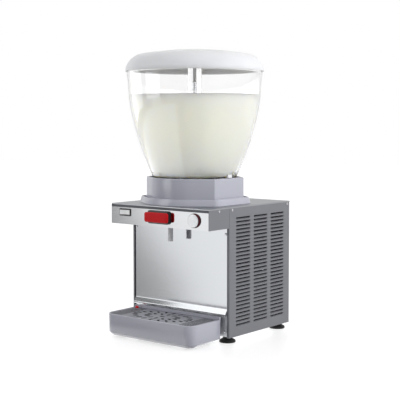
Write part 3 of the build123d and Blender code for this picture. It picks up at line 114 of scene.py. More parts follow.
def close(
    tree: bpy.types.NodeTree,
    values: dict[Socket, object],
    links: dict[Socket, Feed] | None = None,
    tone: tuple[Feed, str, str] | None = None,
    rough: tuple[Feed, float, float] | None = None,
    bump: tuple[Feed, float, float] | None = None,
    span: tuple[float, float] = NOISE_SPAN,
) -> None:
    """End a material: patterns drive its colour, roughness and relief, then come its shader and output.

    Args:
        tree: the material's node tree.
        values: what the shader's sockets hold directly.
        links: other feeds of the shader's sockets.
        tone: a pattern, and the colours at its low and its high end.
        rough: a pattern, and the roughness at its low and its high end.
        bump: a pattern, the strength of its relief and its height in millimetres.
        span: low and high end of the pattern that drives the roughness.
    """
    links = dict(links or {})
    if tone:
        mix = add_node(
            tree, "ShaderNodeMix", {6: linear(tone[1]), 7: linear(tone[2])}, {0: tone[0]}, data_type="RGBA"
        )
        links["Base Color"] = (mix, 2)
    if rough:
        ends = {"From Min": span[0], "From Max": span[1], "To Min": rough[1], "To Max": rough[2]}
        links["Roughness"] = (add_node(tree, "ShaderNodeMapRange", ends, {"Value": rough[0]}), "Result")
    if bump:
        relief = {"Strength": bump[1], "Distance": bump[2] * MM}
        links["Normal"] = (add_node(tree, "ShaderNodeBump", relief, {"Height": bump[0]}), "Normal")
    shader = add_node(tree, "ShaderNodeBsdfPrincipled", values, links)
    add_node(tree, "ShaderNodeOutputMaterial", links={"Surface": (shader, "BSDF")})


# Finishes
@dataclass(frozen=True)
class Finish:
    """What every finish has: the material's name and its main colour."""

    name: str
    colour: str

    def make(self) -> bpy.types.Material:
        """Build the material on an empty tree with object coordinates.

        Returns:
            The material.
        """
        material = bpy.data.materials.new(self.name)
        material.use_nodes = True
        tree = material.node_tree
        tree.nodes.clear()
        self.shade(tree, (add_node(tree, "ShaderNodeTexCoord"), "Object"))
        return material

    def shade(self, tree: bpy.types.NodeTree, place: Feed) -> None:
        """Add the nodes of the finish; each finish has its own way."""
        raise NotImplementedError(self.name)


@dataclass(frozen=True)
class BrushedSteel(Finish):
    """Stainless sheet brushed along X: fine level streaks, and reflections drawn out up and down."""

    streak: str = "#c0c2c4"
    roughness: float = 0.1
    spread: float = 0.02
    drawn_out: float = 0.3
    groove: float = 0.6
    groove_length: float = 120.0
    depth: float = 0.02

    def shade(self, tree: bpy.types.NodeTree, place: Feed) -> None:
        """Streaks are noise stretched along X, drawn coarser than real grit so that they show.

        Args:
            tree: the material's node tree.
            place: object coordinates.
        """
        sizes = (self.groove_length, self.groove, self.groove)
        stretched = add_node(
            tree, "ShaderNodeMapping", {"Scale": [per_metre(size) for size in sizes]}, {"Vector": place}
        )
        grooves = add_node(
            tree, "ShaderNodeTexNoise", {"Scale": 1.0, "Detail": 3.0, "Roughness": 0.65},
            {"Vector": (stretched, "Vector")},
        )
        values = {"Metallic": 1.0}
        links = {}
        if self.drawn_out:
            level = add_node(tree, "ShaderNodeTangent", direction_type="RADIAL", axis="Z")
            values.update({"Anisotropic": self.drawn_out, "Anisotropic Rotation": 0.25})
            links["Tangent"] = (level, "Tangent")
        streaks = (grooves, "Fac")
        close(
            tree, values, links, tone=(streaks, self.colour, self.streak),
            rough=(streaks, self.roughness - self.spread, self.roughness + self.spread),
            bump=(streaks, self.depth, self.groove),
        )


@dataclass(frozen=True)
class Coated(Finish):
    """Powder-coated or enamelled sheet, or a plastic moulding: an even skin with a fine orange peel.

    Into a translucent plastic the light goes by a depth in millimetres. A slotted plate can have its walls,
    where its faces do not look up, painted a darker colour as shade in the slots.
    """

    patch: str = "#808080"
    roughness: float = 0.45
    peel: float = 1.6
    peel_depth: float = 0.12
    patch_size: float = 60.0
    gloss: float = 0.5
    depth: float = 0.0
    walls: str = ""

    def shade(self, tree: bpy.types.NodeTree, place: Feed) -> None:
        """Colour drifts a little from place to place, and a fine noise dimples the surface.

        Args:
            tree: the material's node tree.
            place: object coordinates.
        """
        drift, dimples = (
            add_node(
                tree, "ShaderNodeTexNoise", {"Scale": per_metre(size), "Detail": detail}, {"Vector": place}
            )
            for size, detail in ((self.patch_size, 2.0), (self.peel, 1.0))
        )
        tone = add_node(
            tree, "ShaderNodeMix", {6: linear(self.colour), 7: linear(self.patch)},
            {0: (drift, "Fac")}, data_type="RGBA",
        )
        # Painted shade: faces that do not look up, such as a grille's slot walls, take the dark walls
        # colour.
        if self.walls:
            facing = add_node(tree, "ShaderNodeNewGeometry")
            split = add_node(tree, "ShaderNodeSeparateXYZ", links={"Vector": (facing, "True Normal")})
            tone = add_node(
                tree, "ShaderNodeMix", {6: linear(self.walls)}, {0: (split, "Z"), 7: (tone, 2)},
                data_type="RGBA", clamp_factor=True,
            )
        values = {"Specular IOR Level": self.gloss}
        if self.depth:
            values.update({
                "Subsurface Weight": 0.8, "Subsurface Scale": self.depth * MM,
                "Subsurface Radius": (1.0, 1.0, 1.0),
            })
        close(
            tree, values, {"Base Color": (tone, 2)},
            rough=((drift, "Fac"), self.roughness * 0.9, self.roughness * 1.1),
            bump=((dimples, "Fac"), self.peel_depth, self.peel * 0.2),
        )


@dataclass(frozen=True)
class ClearMoulding(Finish):
    """Clear moulded plastic: sees through, with a faint waviness left by the mould."""

    ior: float = 1.49
    roughness: float = 0.015
    wave: float = 45.0
    wave_depth: float = 0.02

    def shade(self, tree: bpy.types.NodeTree, place: Feed) -> None:
        """A broad, shallow noise bends the reflections a little.

        Args:
            tree: the material's node tree.
            place: object coordinates.
        """
        waves = add_node(
            tree, "ShaderNodeTexNoise", {"Scale": per_metre(self.wave), "Detail": 1.0}, {"Vector": place}
        )
        close(
            tree, {"Base Color": linear(self.colour), "IOR": self.ior, "Transmission Weight": 1.0},
            rough=((waves, "Fac"), 0.0, 2.0 * self.roughness),
            bump=((waves, "Fac"), self.wave_depth, self.wave * 0.1),
        )


@dataclass(frozen=True)
class MilkyDrink(Finish):
    """Pale milky drink: light goes a little way in, so that its shadows are soft and warm."""

    swirl: str = "#fffbe8"
    swirl_size: float = 90.0
    depth: float = 120.0
    roughness: float = 0.35

    def shade(self, tree: bpy.types.NodeTree, place: Feed) -> None:
        """A very soft swirl varies the colour.

        Args:
            tree: the material's node tree.
            place: object coordinates.
        """
        swirls = add_node(
            tree, "ShaderNodeTexNoise",
            {"Scale": per_metre(self.swirl_size), "Detail": 3.0, "Distortion": 1.2}, {"Vector": place},
        )
        values = {
            "Roughness": self.roughness, "Specular IOR Level": 0.0, "Subsurface Weight": 1.0,
            "Subsurface Scale": self.depth * MM, "Subsurface Radius": (1.0, 0.9, 0.7),
        }
        close(tree, values, tone=((swirls, "Fac"), self.colour, self.swirl))


@dataclass(frozen=True)
class SpunAluminium(Finish):
    """Aluminium disc turned on a lathe: fine rings round its middle."""

    centre: tuple[float, float, float] = (0.0, 0.0, 0.0)
    ring: float = 0.9
    roughness: float = 0.3

    def shade(self, tree: bpy.types.NodeTree, place: Feed) -> None:
        """Rings about a level axis through the disc's middle, coarser than real so that they show.

        Args:
            tree: the material's node tree.
            place: object coordinates.
        """
        centred = add_node(
            tree, "ShaderNodeMapping", {"Location": [-value * MM for value in self.centre]},
            {"Vector": place},
        )
        rings = add_node(
            tree, "ShaderNodeTexWave",
            {"Scale": per_metre(self.ring) / FULL_TURN, "Distortion": 0.6, "Detail": 1.0},
            {"Vector": (centred, "Vector")}, wave_type="RINGS", rings_direction="Y",
        )
        close(
            tree, {"Base Color": linear(self.colour), "Metallic": 1.0}, span=(0.0, 1.0),
            rough=((rings, "Fac"), self.roughness * 0.8, self.roughness * 1.2),
            bump=((rings, "Fac"), 0.06, self.ring * 0.3),
        )


@dataclass(frozen=True)
class PlainMetal(Finish):
    """Drawn, plated or pressed metal with a faint tarnish."""

    tarnish: str = "#909090"
    roughness: float = 0.3
    patch_size: float = 14.0

    def shade(self, tree: bpy.types.NodeTree, place: Feed) -> None:
        """Tarnish comes and goes in small patches and dulls the shine where it is.

        Args:
            tree: the material's node tree.
            place: object coordinates.
        """
        patches = add_node(
            tree, "ShaderNodeTexNoise", {"Scale": per_metre(self.patch_size), "Detail": 4.0},
            {"Vector": place},
        )
        close(
            tree, {"Metallic": 1.0}, tone=((patches, "Fac"), self.colour, self.tarnish),
            rough=((patches, "Fac"), self.roughness * 0.7, self.roughness * 1.3),
        )


@dataclass(frozen=True)
class CellFoam(Finish):
    """Rigid foam: closed cells that show as fine pits."""

    pit_shade: str = "#cbbf94"
    cell: float = 1.8

    def shade(self, tree: bpy.types.NodeTree, place: Feed) -> None:
        """Cells sink towards their middles and are painted darker there, as shade in the pits.

        Args:
            tree: the material's node tree.
            place: object coordinates.
        """
        cells = add_node(tree, "ShaderNodeTexVoronoi", {"Scale": per_metre(self.cell)}, {"Vector": place})
        close(
            tree, {"Roughness": 0.85}, tone=((cells, "Distance"), self.pit_shade, self.colour),
            bump=((cells, "Distance"), 0.4, self.cell * 0.3),
        )


@cache
def material_of(finish: Finish) -> bpy.types.Material:
    """The finish's material, made once."""
    return finish.make()


# Curves
def arc_about(start: Sequence[float], centre: Sequence[float], sweep: float, steps: int) -> np.ndarray:
    """Points from a start, turned about a centre by even shares of a sweep.

    Args:
        start: first point.
        centre: point that the arc turns about.
        sweep: whole turn in radians, positive to the left.
        steps: number of points.

    Returns:
        The points, one per row.
    """
    turn = np.linspace(0.0, sweep, steps)
    along, across = np.subtract(start, centre)
    x = centre[0] + along * np.cos(turn) - across * np.sin(turn)
    y = centre[1] + along * np.sin(turn) + across * np.cos(turn)
    return np.stack([x, y], axis=1)


def turn_between(heading: np.ndarray, other: np.ndarray) -> float:
    """Signed angle from one direction to another, in radians."""
    cross = heading[0] * other[1] - heading[1] * other[0]
    return math.atan2(cross, float(np.dot(heading, other)))


def arc_through(
    first: Sequence[float], middle: Sequence[float], last: Sequence[float], steps: int
) -> np.ndarray:
    """Arc through three points: its centre is where the bisectors of its two chords cross.

    Args:
        first: start of the arc.
        middle: point on the arc.
        last: end of the arc.
        steps: number of points.

    Returns:
        The points, one per row.
    """
    chords = np.array([np.subtract(middle, first), np.subtract(last, middle)])
    sums = np.array([np.add(middle, first), np.add(last, middle)])
    centre = np.linalg.solve(chords, 0.5 * np.sum(chords * sums, axis=1))
    arms = [np.subtract(point, centre) for point in (first, middle, last)]
    sweep = turn_between(arms[0], arms[1]) + turn_between(arms[1], arms[2])
    return arc_about(first, centre, sweep, steps)


def arc_onward(before: np.ndarray, end: Sequence[float], steps: int) -> np.ndarray:
    """Arc that carries on from a curve's last point, in its direction, to an end.

    The arc turns by twice the angle between that direction and the straight line to the end.

    Args:
        before: points of the curve that it carries on from.
        end: where the arc ends.
        steps: number of points.

    Returns:
        The points, one per row, without the shared first one.
    """
    start = before[-1]
    run = np.subtract(end, start)
    # The curve before is an arc, so its end direction is its last chord turned by half its last bend.
    chord = before[-1] - before[-2]
    bend = turn_between(before[-2] - before[-3], chord) / 2.0
    heading = np.array([
        chord[0] * math.cos(bend) - chord[1] * math.sin(bend),
        chord[0] * math.sin(bend) + chord[1] * math.cos(bend),
    ])
    half = turn_between(heading, run)
    radius = float(np.hypot(*run)) / (2.0 * math.sin(half))
    left = np.array([-heading[1], heading[0]]) / np.hypot(*heading)
    return arc_about(start, start + left * radius, 2.0 * half, steps)[1:]


def corner_arc(corners: Sequence[Corner], number: int) -> tuple[np.ndarray, np.ndarray, float]:
    """Arc that rounds one corner of a closed outline and touches both of its sides.

    Args:
        corners: (across, up, radius) of each corner.
        number: which corner.

    Returns:
        The arc's start, its centre and its signed sweep.
    """
    here = np.array(corners[number][:2], float)
    radius = corners[number][2]
    arriving = here - np.array(corners[number - 1][:2], float)
    leaving = np.array(corners[(number + 1) % len(corners)][:2], float) - here
    sweep = turn_between(arriving, leaving)
    arriving = arriving / np.hypot(*arriving)
    start = here - arriving * radius * abs(math.tan(sweep / 2.0))
    left = np.array([-arriving[1], arriving[0]])
    return start, start + left * math.copysign(radius, sweep), sweep


def eased(corners: Sequence[Corner], steps: int = 5) -> np.ndarray:
    """Closed outline through corners, each rounded by an arc of its own radius.

    Args:
        corners: (across, up, radius) of each corner; a radius of 0 leaves it sharp.
        steps: points on each arc.

    Returns:
        The outline's points, one per row.
    """
    runs = []
    for number, corner in enumerate(corners):
        if corner[2]:
            runs.append(arc_about(*corner_arc(corners, number), steps))
        else:
            runs.append(np.array([corner[:2]], float))
    return np.concatenate(runs)


class Plan:
    """A closed plan with rounded corners that can be grown or drawn in by an offset."""

    def __init__(self, corners: Sequence[Corner], steps: int = 9) -> None:
        """Keep each outline point as an arc's centre and the direction from it.

        Args:
            corners: (across, up, radius) of each corner, anticlockwise.
            steps: points on each arc.
        """
        arcs = [corner_arc(corners, number) for number in range(len(corners))]
        self.centres = np.repeat([centre for _, centre, _ in arcs], steps, axis=0)
        self.radii = np.repeat([corner[2] for corner in corners], steps)
        edge = np.concatenate([arc_about(*arc, steps) for arc in arcs])
        self.normals = (edge - self.centres) / self.radii[:, None]

    def carried(self, profile: Sequence[Sequence[float]]) -> np.ndarray:
        """Carry a profile round the plan: point = centre + direction * (radius + offset), at its height.

        Args:
            profile: (offset, height) of each point of the profile.

        Returns:
            A grid of points, profile by plan.
        """
        profile = np.asarray(profile, float)
        reach = self.radii + profile[:, :1]
        flat = self.centres + self.normals * reach[..., None]
        height = np.broadcast_to(profile[:, 1, None, None], (*reach.shape, 1))
        return np.concatenate([flat, height], axis=-1)


def rectangle(width: float, height: float, radius: float) -> list[Corner]:
    """Corners of a rectangle about the origin, anticlockwise, all with one radius."""
    x, y = width / 2.0, height / 2.0
    return [(x, -y, radius), (x, y, radius), (-x, y, radius), (-x, -y, radius)]


# Surfaces
def turned(profile: np.ndarray, axis: Sequence[float], steps: int) -> np.ndarray:
    """Turn a profile in (radius, height) about an upright axis: x, y = axis + radius * (cos, sin).

    Args:
        profile: points of the profile, one per row.
        axis: where the axis stands.
        steps: points round the axis.

    Returns:
        A grid of points, profile by turn.
    """
    turn = np.arange(steps) * FULL_TURN / steps
    x = axis[0] + profile[:, :1] * np.cos(turn)
    y = axis[1] + profile[:, :1] * np.sin(turn)
    return np.stack([x, y, np.broadcast_to(profile[:, 1:], x.shape)], axis=-1)


def extruded(outline: np.ndarray, ends: Sequence[float]) -> np.ndarray:
    """Carry a closed outline in (y, z) straight along X between two ends, as a grid, end by outline.

    Args:
        outline: points of the outline, one per row.
        ends: x of each end.

    Returns:
        The grid.
    """
    flat = np.broadcast_to(outline, (len(ends), *outline.shape))
    along = np.broadcast_to(np.reshape(ends, (-1, 1, 1)), (*flat.shape[:2], 1))
    return np.concatenate([along, flat], axis=-1)


def to_front(grid: np.ndarray, place: Sequence[float]) -> np.ndarray:
    """Stand a grid up so that its height looks out to the front (-Y), about a place."""
    return np.stack(
        [place[0] + grid[..., 0], place[1] - grid[..., 2], place[2] + grid[..., 1]], axis=-1
    )


class Skin:
    """Points and faces of one piece, gathered grid by grid."""

    def __init__(self) -> None:
        """Start with nothing."""
        self.points: list[np.ndarray] = []
        self.faces: list[list[int]] = []
        self.total = 0

    def add(
        self, grid: np.ndarray, ring: bool = True, loop: bool = False, caps: bool = False,
        keep: np.ndarray | None = None, flip: bool = False,
    ) -> "Skin":
        """Add one grid of points, or a stack of grids, as quads.

        Args:
            grid: points by row and column; a stack has more axes in front.
            ring: close each row on itself.
            loop: close each column on itself.
            caps: close the first and the last row with a flat face each.
            keep: which cells of an open grid are kept.
            flip: turn the faces over.

        Returns:
            This skin.
        """
        index = self.total + np.arange(grid[..., 0].size).reshape(grid.shape[:-1])
        self.points.append(grid.reshape(-1, 3))
        self.total += index.size
        ends = [index[0, ::-1].tolist(), index[-1].tolist()] if caps else []
        if ring:
            index = np.concatenate([index, index[..., :1]], axis=-1)
        if loop:
            index = np.concatenate([index, index[..., :1, :]], axis=-2)
        quads = np.stack(
            [index[..., :-1, :-1], index[..., 1:, :-1], index[..., 1:, 1:], index[..., :-1, 1:]], axis=-1
        )
        if keep is not None:
            quads = quads[keep]
        quads = quads.reshape(-1, 4)
        self.faces += (quads[:, ::-1] if flip else quads).tolist() + ends
        return self

    def mesh(self, name: str, closed: bool) -> bpy.types.Mesh:
        """Make the mesh in metres; a closed skin has its poles merged and its faces turned outwards.

        Args:
            name: the mesh's name.
            closed: whether the skin closes on itself.

        Returns:
            The mesh, shaded smooth apart from its sharp edges.
        """
        mesh = bpy.data.meshes.new(name)
        mesh.from_pydata(np.concatenate(self.points) * MM, [], self.faces)
        if closed:
            work = bmesh.new()
            work.from_mesh(mesh)
            bmesh.ops.remove_doubles(work, verts=work.verts, dist=MERGE_WITHIN)
            bmesh.ops.recalc_face_normals(work, faces=work.faces)
            work.to_mesh(mesh)
            work.free()
        mesh.shade_smooth()
        mesh.set_sharp_from_angle(angle=SHARP_ANGLE)
        return mesh


@dataclass(frozen=True)
class Seat:
    """Where a piece belongs: its body, its material slot and the nodes that it stands for."""

    body: str
    slot: str
    stands_for: tuple[str, ...] = ()


def add_piece(
    name: str, skin: Skin, seat: Seat, finish: Finish, closed: bool = True
) -> bpy.types.Object:
    """Make one finished piece, hang it on its body and hide the imported nodes that it stands for.

    Args:
        name: the piece's name.
        skin: its points and faces.
        seat: its body, slot and nodes.
        finish: its finish.
        closed: whether its skin closes on itself.

    Returns:
        The new object.
    """
    piece = bpy.data.objects.new(name, skin.mesh(name, closed))
    bpy.context.scene.collection.objects.link(piece)
    piece.data.materials.append(material_of(finish))
    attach(piece, seat.body)
    if seat.stands_for:
        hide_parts(*seat.stands_for)
    LOG.info("%s: %d faces, rides on %s", name, len(piece.data.polygons), seat.body)
    return piece


def add_turned(
    name: str, section: np.ndarray, axis: Sequence[float], steps: int, seat: Seat, finish: Finish
) -> None:
    """Make one piece by turning a section; one that stays clear of the axis closes on itself.

    Args:
        name: the piece's name.
        section: (radius, height) points of the section.
        axis: where the upright axis stands.
        steps: points round the axis.
        seat: its body, slot and nodes.
        finish: its finish.
    """
    clear = section[0, 0] > 0.0
    add_piece(name, Skin().add(turned(section, axis, steps), loop=clear), seat, finish)


def dress(finish: Finish, *nodes: str) -> None:
    """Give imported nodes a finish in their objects' material slots.

    Args:
        finish: what they are dressed in.
        nodes: names of the nodes.
    """
    for node in nodes:
        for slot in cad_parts[node].material_slots:
            slot.link = "OBJECT"
            slot.material = material_of(finish)
        LOG.info("%s: dressed in %s", node, finish.name)


def box_of(node: str) -> np.ndarray:
    """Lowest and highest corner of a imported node, in millimetres, as two rows."""
    return np.array(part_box(node)) / MM


def axis_of(node: str) -> np.ndarray:
    """Where the upright axis of a packed round node stands."""
    return box_of(node).mean(axis=0)[:2]


def radius_of(node: str) -> float:
    """Radius of a packed round node."""
    return np.ptp(box_of(node)[:, 0]) / 2.0


# The finishes of this object
# Brushed stainless: panel and fascia mirror the studio, drawn out by the brushing; the cover is dull.
FRONT_STEEL = BrushedSteel("brushed_stainless_front", "#b6b8bb")
FASCIA_STEEL = BrushedSteel("brushed_stainless_fascia", "#bcbec0", streak="#c2c3c5")
COVER_STEEL = BrushedSteel(
    "satin_stainless_cover", "#96989c", streak="#9b9da0", roughness=0.34, drawn_out=0.0
)
# Painted sheet: an even, rather dull grey outside and a dark enamel inside.
GREY_PAINT = Coated("grey_powder_coat", "#6e6f74", patch="#6b6c71", roughness=0.42)
DARK_PAINT = Coated("dark_stoved_enamel", "#18181a", patch="#1f1f22", roughness=0.35)
# Grey mouldings: glossy on collar and tray, dull on the grille; slot walls and the tray's well carry
# painted shade.
GREY_MOULDING = Coated(
    "grey_moulded_abs", "#a8a9b4", patch="#a5a6b1", roughness=0.15, peel=1.2, peel_depth=0.03
)
GRILLE_MOULDING = Coated(
    "grey_moulded_grille", "#6c6d76", patch="#696a73", roughness=0.42, peel=1.2, peel_depth=0.08,
    walls="#0a0a0c",
)
# Painted shade: the tray's well under the grille is coloured dark where little light reaches.
WELL_SHADE_MOULDING = Coated(
    "painted_shade_well_abs", "#36373d", patch="#2e2f35", roughness=0.3, peel=1.2, peel_depth=0.05
)
# White mouldings: light goes some way into the lid, so its shaded side stays pale.
WHITE_MOULDING = Coated(
    "white_moulded_polypropylene", "#e0e1e4", patch="#dcdde0", roughness=0.38, peel=1.0, peel_depth=0.05
)
LID_MOULDING = Coated(
    "translucent_polypropylene", "#d8d9dc", patch="#d4d5d8", roughness=0.38, peel=1.0, peel_depth=0.05,
    depth=12.0,
)
ROCKER_MOULDING = Coated(
    "glossy_white_abs", "#f4f5f6", patch="#f1f2f3", roughness=0.2, peel=1.0, peel_depth=0.03
)
# Red, maroon and black mouldings: dull enough to keep their colour under the lamps.
RED_MOULDING = Coated(
    "red_moulded_abs", "#c4121b", patch="#bc1019", roughness=0.45, peel=1.0, peel_depth=0.06, gloss=0.15
)
MAROON_MOULDING = Coated(
    "maroon_moulded_abs", "#4c1a22", patch="#45171f", roughness=0.4, peel=1.0, peel_depth=0.06, gloss=0.3
)
BLACK_MOULDING = Coated(
    "black_moulded_nylon", "#131315", patch="#1a1a1c", roughness=0.4, peel=0.9, peel_depth=0.15
)
# Rubber, silicone and the other small parts: duller skins.
BLACK_RUBBER = Coated(
    "black_rubber", "#0f0f10", patch="#161617", roughness=0.6, peel=0.8, peel_depth=0.25, gloss=0.4
)
GREY_SEAL = Coated("grey_rubber_seal", "#505258", patch="#4a4c52", roughness=0.55, peel=0.8, peel_depth=0.2)
PALE_SILICONE = Coated("pale_silicone", "#d4d3cc", patch="#cccbc4", roughness=0.5, peel=1.0)
WHITE_ACETAL = Coated("machined_acetal", "#e4e2da", patch="#dcdad2", roughness=0.45, peel=0.7)
GREEN_BOARD = Coated("green_board_lacquer", "#1f5a34", patch="#2c7044", roughness=0.35, patch_size=6.0)
# The clear bowl shows by its glints alone, and the drink is soft and warm.
CLEAR_BOWL = ClearMoulding("clear_polycarbonate", "#ffffff")
DRINK = MilkyDrink("milky_drink", "#fffae4")
# Plain metals: bright screws, a matt base pan, drawn steel and copper inside.
ZINC = PlainMetal("bright_zinc", "#d5d6d8", tarnish="#bfc0c4", roughness=0.25)
MATT_STEEL = PlainMetal("matt_stainless", "#dcdde0", tarnish="#d0d1d4", roughness=0.6)
STAINLESS = PlainMetal("drawn_stainless", "#bfc0c2", tarnish="#b0b1b4", roughness=0.25)
COPPER = PlainMetal("drawn_copper", "#c98a63", tarnish="#9c6445", roughness=0.35)
FOAM = CellFoam("rigid_foam", "#e4dcb8")


class Side(Enum):
    """The sides of the casing that carry a louvred sheet."""

    LEFT = "left_panel"
    RIGHT = "right_panel"
    BACK = "back_panel"


@dataclass
class Casing:
    """Louvred side and back panels, splash panel, header, cover and base pan."""

    sheet: float = 1.2
    corner: float = 3.0
    corner_steps: int = 5
    side_columns: int = 3
    back_columns: int = 1
    louvre_pitch: float = 10.0
    louvre_open: float = 7.2
    louvre_rise: float = 3.4
    louvre_depth: float = 5.0
    louvre_end: float = 3.5
    louvre_bend: float = 1.5
    louvre_steps: tuple[int, int] = (23, 7)
    column_gap: float = 16.0
    margin_side: float = 30.0
    margin_back: float = 5.0
    margin_up: float = 28.0
    vent_width: float = 60.0
    inlet_hole: tuple[float, float] = (48.4, 28.4)
    fold_top: float = 88.3
    fold_drop: float = 11.0
    fold_radius: float = 2.0
    drip_half: float = 159.6

    def rows(self, low: float, high: float) -> np.ndarray:
        """Heights of the louvres' lower edges, centred between two levels.

        Args:
            low: lower level.
            high: upper level.

        Returns:
            The heights.
        """
        span = high - low - 2.0 * self.margin_up
        count = int(span / self.louvre_pitch) + 1
        start = low + self.margin_up + (span - (count - 1) * self.louvre_pitch - self.louvre_open) / 2.0
        return start + self.louvre_pitch * np.arange(count)

    def columns(self, low: float, high: float, side: Side) -> tuple[np.ndarray, float]:
        """Middles and length of the louvre columns between two edges.

        Args:
            low: first edge.
            high: last edge.
            side: which sheet.

        Returns:
            The middles and the length.
        """
        count = self.back_columns if side is Side.BACK else self.side_columns
        margin = self.margin_back if side is Side.BACK else self.margin_side
        usable = high - low - 2.0 * margin
        length = (usable - (count - 1) * self.column_gap) / count
        steps = np.arange(count) * (length + self.column_gap)
        return low + margin + length / 2.0 + steps, length

    def louvres(self, middles: np.ndarray, length: float, rows: np.ndarray) -> np.ndarray:
        """All pressed louvres of a sheet as a stack of grids in (across, inward, up).

        Along a louvre the press eases in at both ends as a quarter of an ellipse. Its lip leaves the sheet
        at the lower edge, bends inward with a power of the height, and stops short of the sheet above, so
        that a slit stays open along its top.

        Args:
            middles: middles of the columns.
            length: length of a louvre.
            rows: heights of the lower edges.

        Returns:
            The grids, column by row.
        """
        half = length / 2.0
        along = -np.cos(np.linspace(0.0, math.pi, self.louvre_steps[0])) * half
        past = np.clip((np.abs(along) - half + self.louvre_end) / self.louvre_end, 0.0, 1.0)
        press = np.sqrt(1.0 - past ** 2)
        climb = np.linspace(0.0, 1.0, self.louvre_steps[1])
        lip = self.louvre_open - (self.louvre_open - self.louvre_rise) * press
        up = rows[:, None, None] + climb * lip[:, None]
        inward = self.louvre_depth * press[:, None] * climb ** self.louvre_bend
        across = middles[:, None, None, None] + along[:, None]
        shape = (len(middles), *up.shape)
        return np.stack([np.broadcast_to(axis, shape) for axis in (across, inward, up)], axis=-1)

    def field(self, side: Side) -> np.ndarray:
        """Part of a sheet that is louvred.

        A side panel is louvred all over; the back panel only behind the compressor's inner half.

        Args:
            side: which sheet.

        Returns:
            (across, up) of its lowest and of its highest corner.
        """
        if side is not Side.BACK:
            return box_of(side.value)[:, 1:]
        mounts = box_of("compressor_mounts")
        middle = mounts.mean(axis=0)[0]
        return np.array([[middle - self.vent_width, mounts[0, 2]], [middle, box_of("compressor")[1, 2]]])

    def windows(self, side: Side, middles: np.ndarray, length: float, rows: np.ndarray) -> np.ndarray:
        """Openings in a sheet: one for each louvre and, in the back panel, one for the power inlet.

        Args:
            side: which sheet.
            middles: middles of the louvre columns.
            length: length of a louvre.
            rows: heights of the louvres' lower edges.

        Returns:
            Lowest and highest corner of each opening, in (across, up).
        """
        across, up = (spots.ravel() for spots in np.meshgrid(middles, rows))
        low = np.stack([across - length / 2.0, up], axis=1)
        high = low + (length, self.louvre_open)
        if side is Side.BACK:
            inlet = box_of("power_inlet").mean(axis=0)[[0, 2]]
            half = np.array(self.inlet_hole) / 2.0
            low = np.concatenate([low, [inlet - half]])
            high = np.concatenate([high, [inlet + half]])
        return np.stack([low, high], axis=1)

    def sheet_path(self, side: Side, edges: np.ndarray) -> np.ndarray:
        """Plan of a sheet as (across, inward) points; a side panel turns in at both edges by a bend.

        Args:
            side: which sheet.
            edges: places where an opening starts or ends.

        Returns:
            The points from one edge of the sheet to the other.
        """
        corners = box_of(side.value)
        low, high = corners[:, 0 if side is Side.BACK else 1]
        if side is Side.BACK:
            first = np.array([[low, 0.0]])
        else:
            lip = float(np.ptp(corners[:, 0]))
            centre = (low + self.corner, self.corner)
            bend = arc_about((low, self.corner), centre, math.pi / 2.0, self.corner_steps)
            first = np.concatenate([[[low, lip]], bend])
        last = first[::-1] * (-1.0, 1.0) + (low + high, 0.0)
        flat = np.stack([edges, np.zeros_like(edges)], axis=1)
        return np.concatenate([first, flat, last])

    def panel(self, side: Side) -> None:
        """Build one louvred sheet: a grid without the cells that lie in an opening, and the louvres.

        Args:
            side: which sheet.
        """
        corners = box_of(side.value)
        field = self.field(side)
        middles, length = self.columns(*field[:, 0], side)
        rows = self.rows(*field[:, 1])
        windows = self.windows(side, middles, length, rows)
        path = self.sheet_path(side, np.unique(windows[..., 0].round(4)))
        levels = np.unique(np.concatenate([windows[..., 1].ravel(), corners[:, 2]]).round(4))
        grid = np.zeros((len(path), len(levels), 3))
        grid[..., :2] = path[:, None]
        grid[..., 2] = levels
        cells = (grid[1:, 1:] + grid[:-1, :-1])[..., None, [0, 2]] / 2.0
        inside = (cells > windows[:, 0]) & (cells < windows[:, 1])
        keep = ~inside.all(axis=-1).any(axis=-1)
        flip = side is not Side.RIGHT
        skin = Skin().add(self.stand(side, grid, corners), ring=False, keep=keep, flip=flip)
        louvres = self.louvres(middles, length, rows)
        skin.add(self.stand(side, louvres, corners), ring=False, flip=flip)
        seat = Seat("cabinet", "painted_steel", (side.value,))
        piece = add_piece(f"{side.value}_sheet", skin, seat, GREY_PAINT, closed=False)
        wall = piece.modifiers.new("sheet", "SOLIDIFY")
        wall.thickness = self.sheet * MM
        wall.offset = -1.0
        even = piece.modifiers.new("even_shading", "WEIGHTED_NORMAL")
        even.keep_sharp = True

    @staticmethod
    def stand(side: Side, grid: np.ndarray, corners: np.ndarray) -> np.ndarray:
        """Turn (across, inward, up) points of a sheet into the object's frame.

        Args:
            side: which sheet.
            grid: the points.
            corners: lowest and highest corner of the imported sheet.

        Returns:
            The points, as x, y and z.
        """
        across, inward, up = np.moveaxis(grid, -1, 0)
        if side is Side.BACK:
            return np.stack([across, corners[1, 1] - inward, up], axis=-1)
        out = corners[0, 0] + inward if side is Side.LEFT else corners[1, 0] - inward
        return np.stack([out, across, up], axis=-1)

    def splash_panel(self) -> None:
        """Splash panel: a flat face, and a drip lip whose section is carried along X."""
        corners = box_of("front_panel")
        out, back = corners[:, 1]
        foot, high = corners[:, 2]
        front = back - self.sheet
        fold = self.fold_top - self.fold_drop
        bend = self.fold_top + 2.0 * self.fold_radius
        inner = self.fold_radius - self.sheet
        edge = self.sheet / 3.0
        face = np.array([(front, bend), (front, high), (back, high), (back, bend)])
        section = eased([
            (front, bend, 0.0), (front, self.fold_top, self.fold_radius), (out, fold, self.fold_radius),
            (out, foot, edge), (out + self.sheet, foot, edge),
            (out + self.sheet, fold + self.sheet / 2.0, inner),
            (back, self.fold_top + self.sheet / 2.0, inner), (back, bend, 0.0),
        ])
        skin = Skin().add(extruded(face, corners[:, 0]), caps=True)
        skin.add(extruded(section, (-self.drip_half, self.drip_half)), caps=True)
        add_piece("splash_panel", skin, Seat("cabinet", "brushed_steel", ("front_panel",)), FRONT_STEEL)

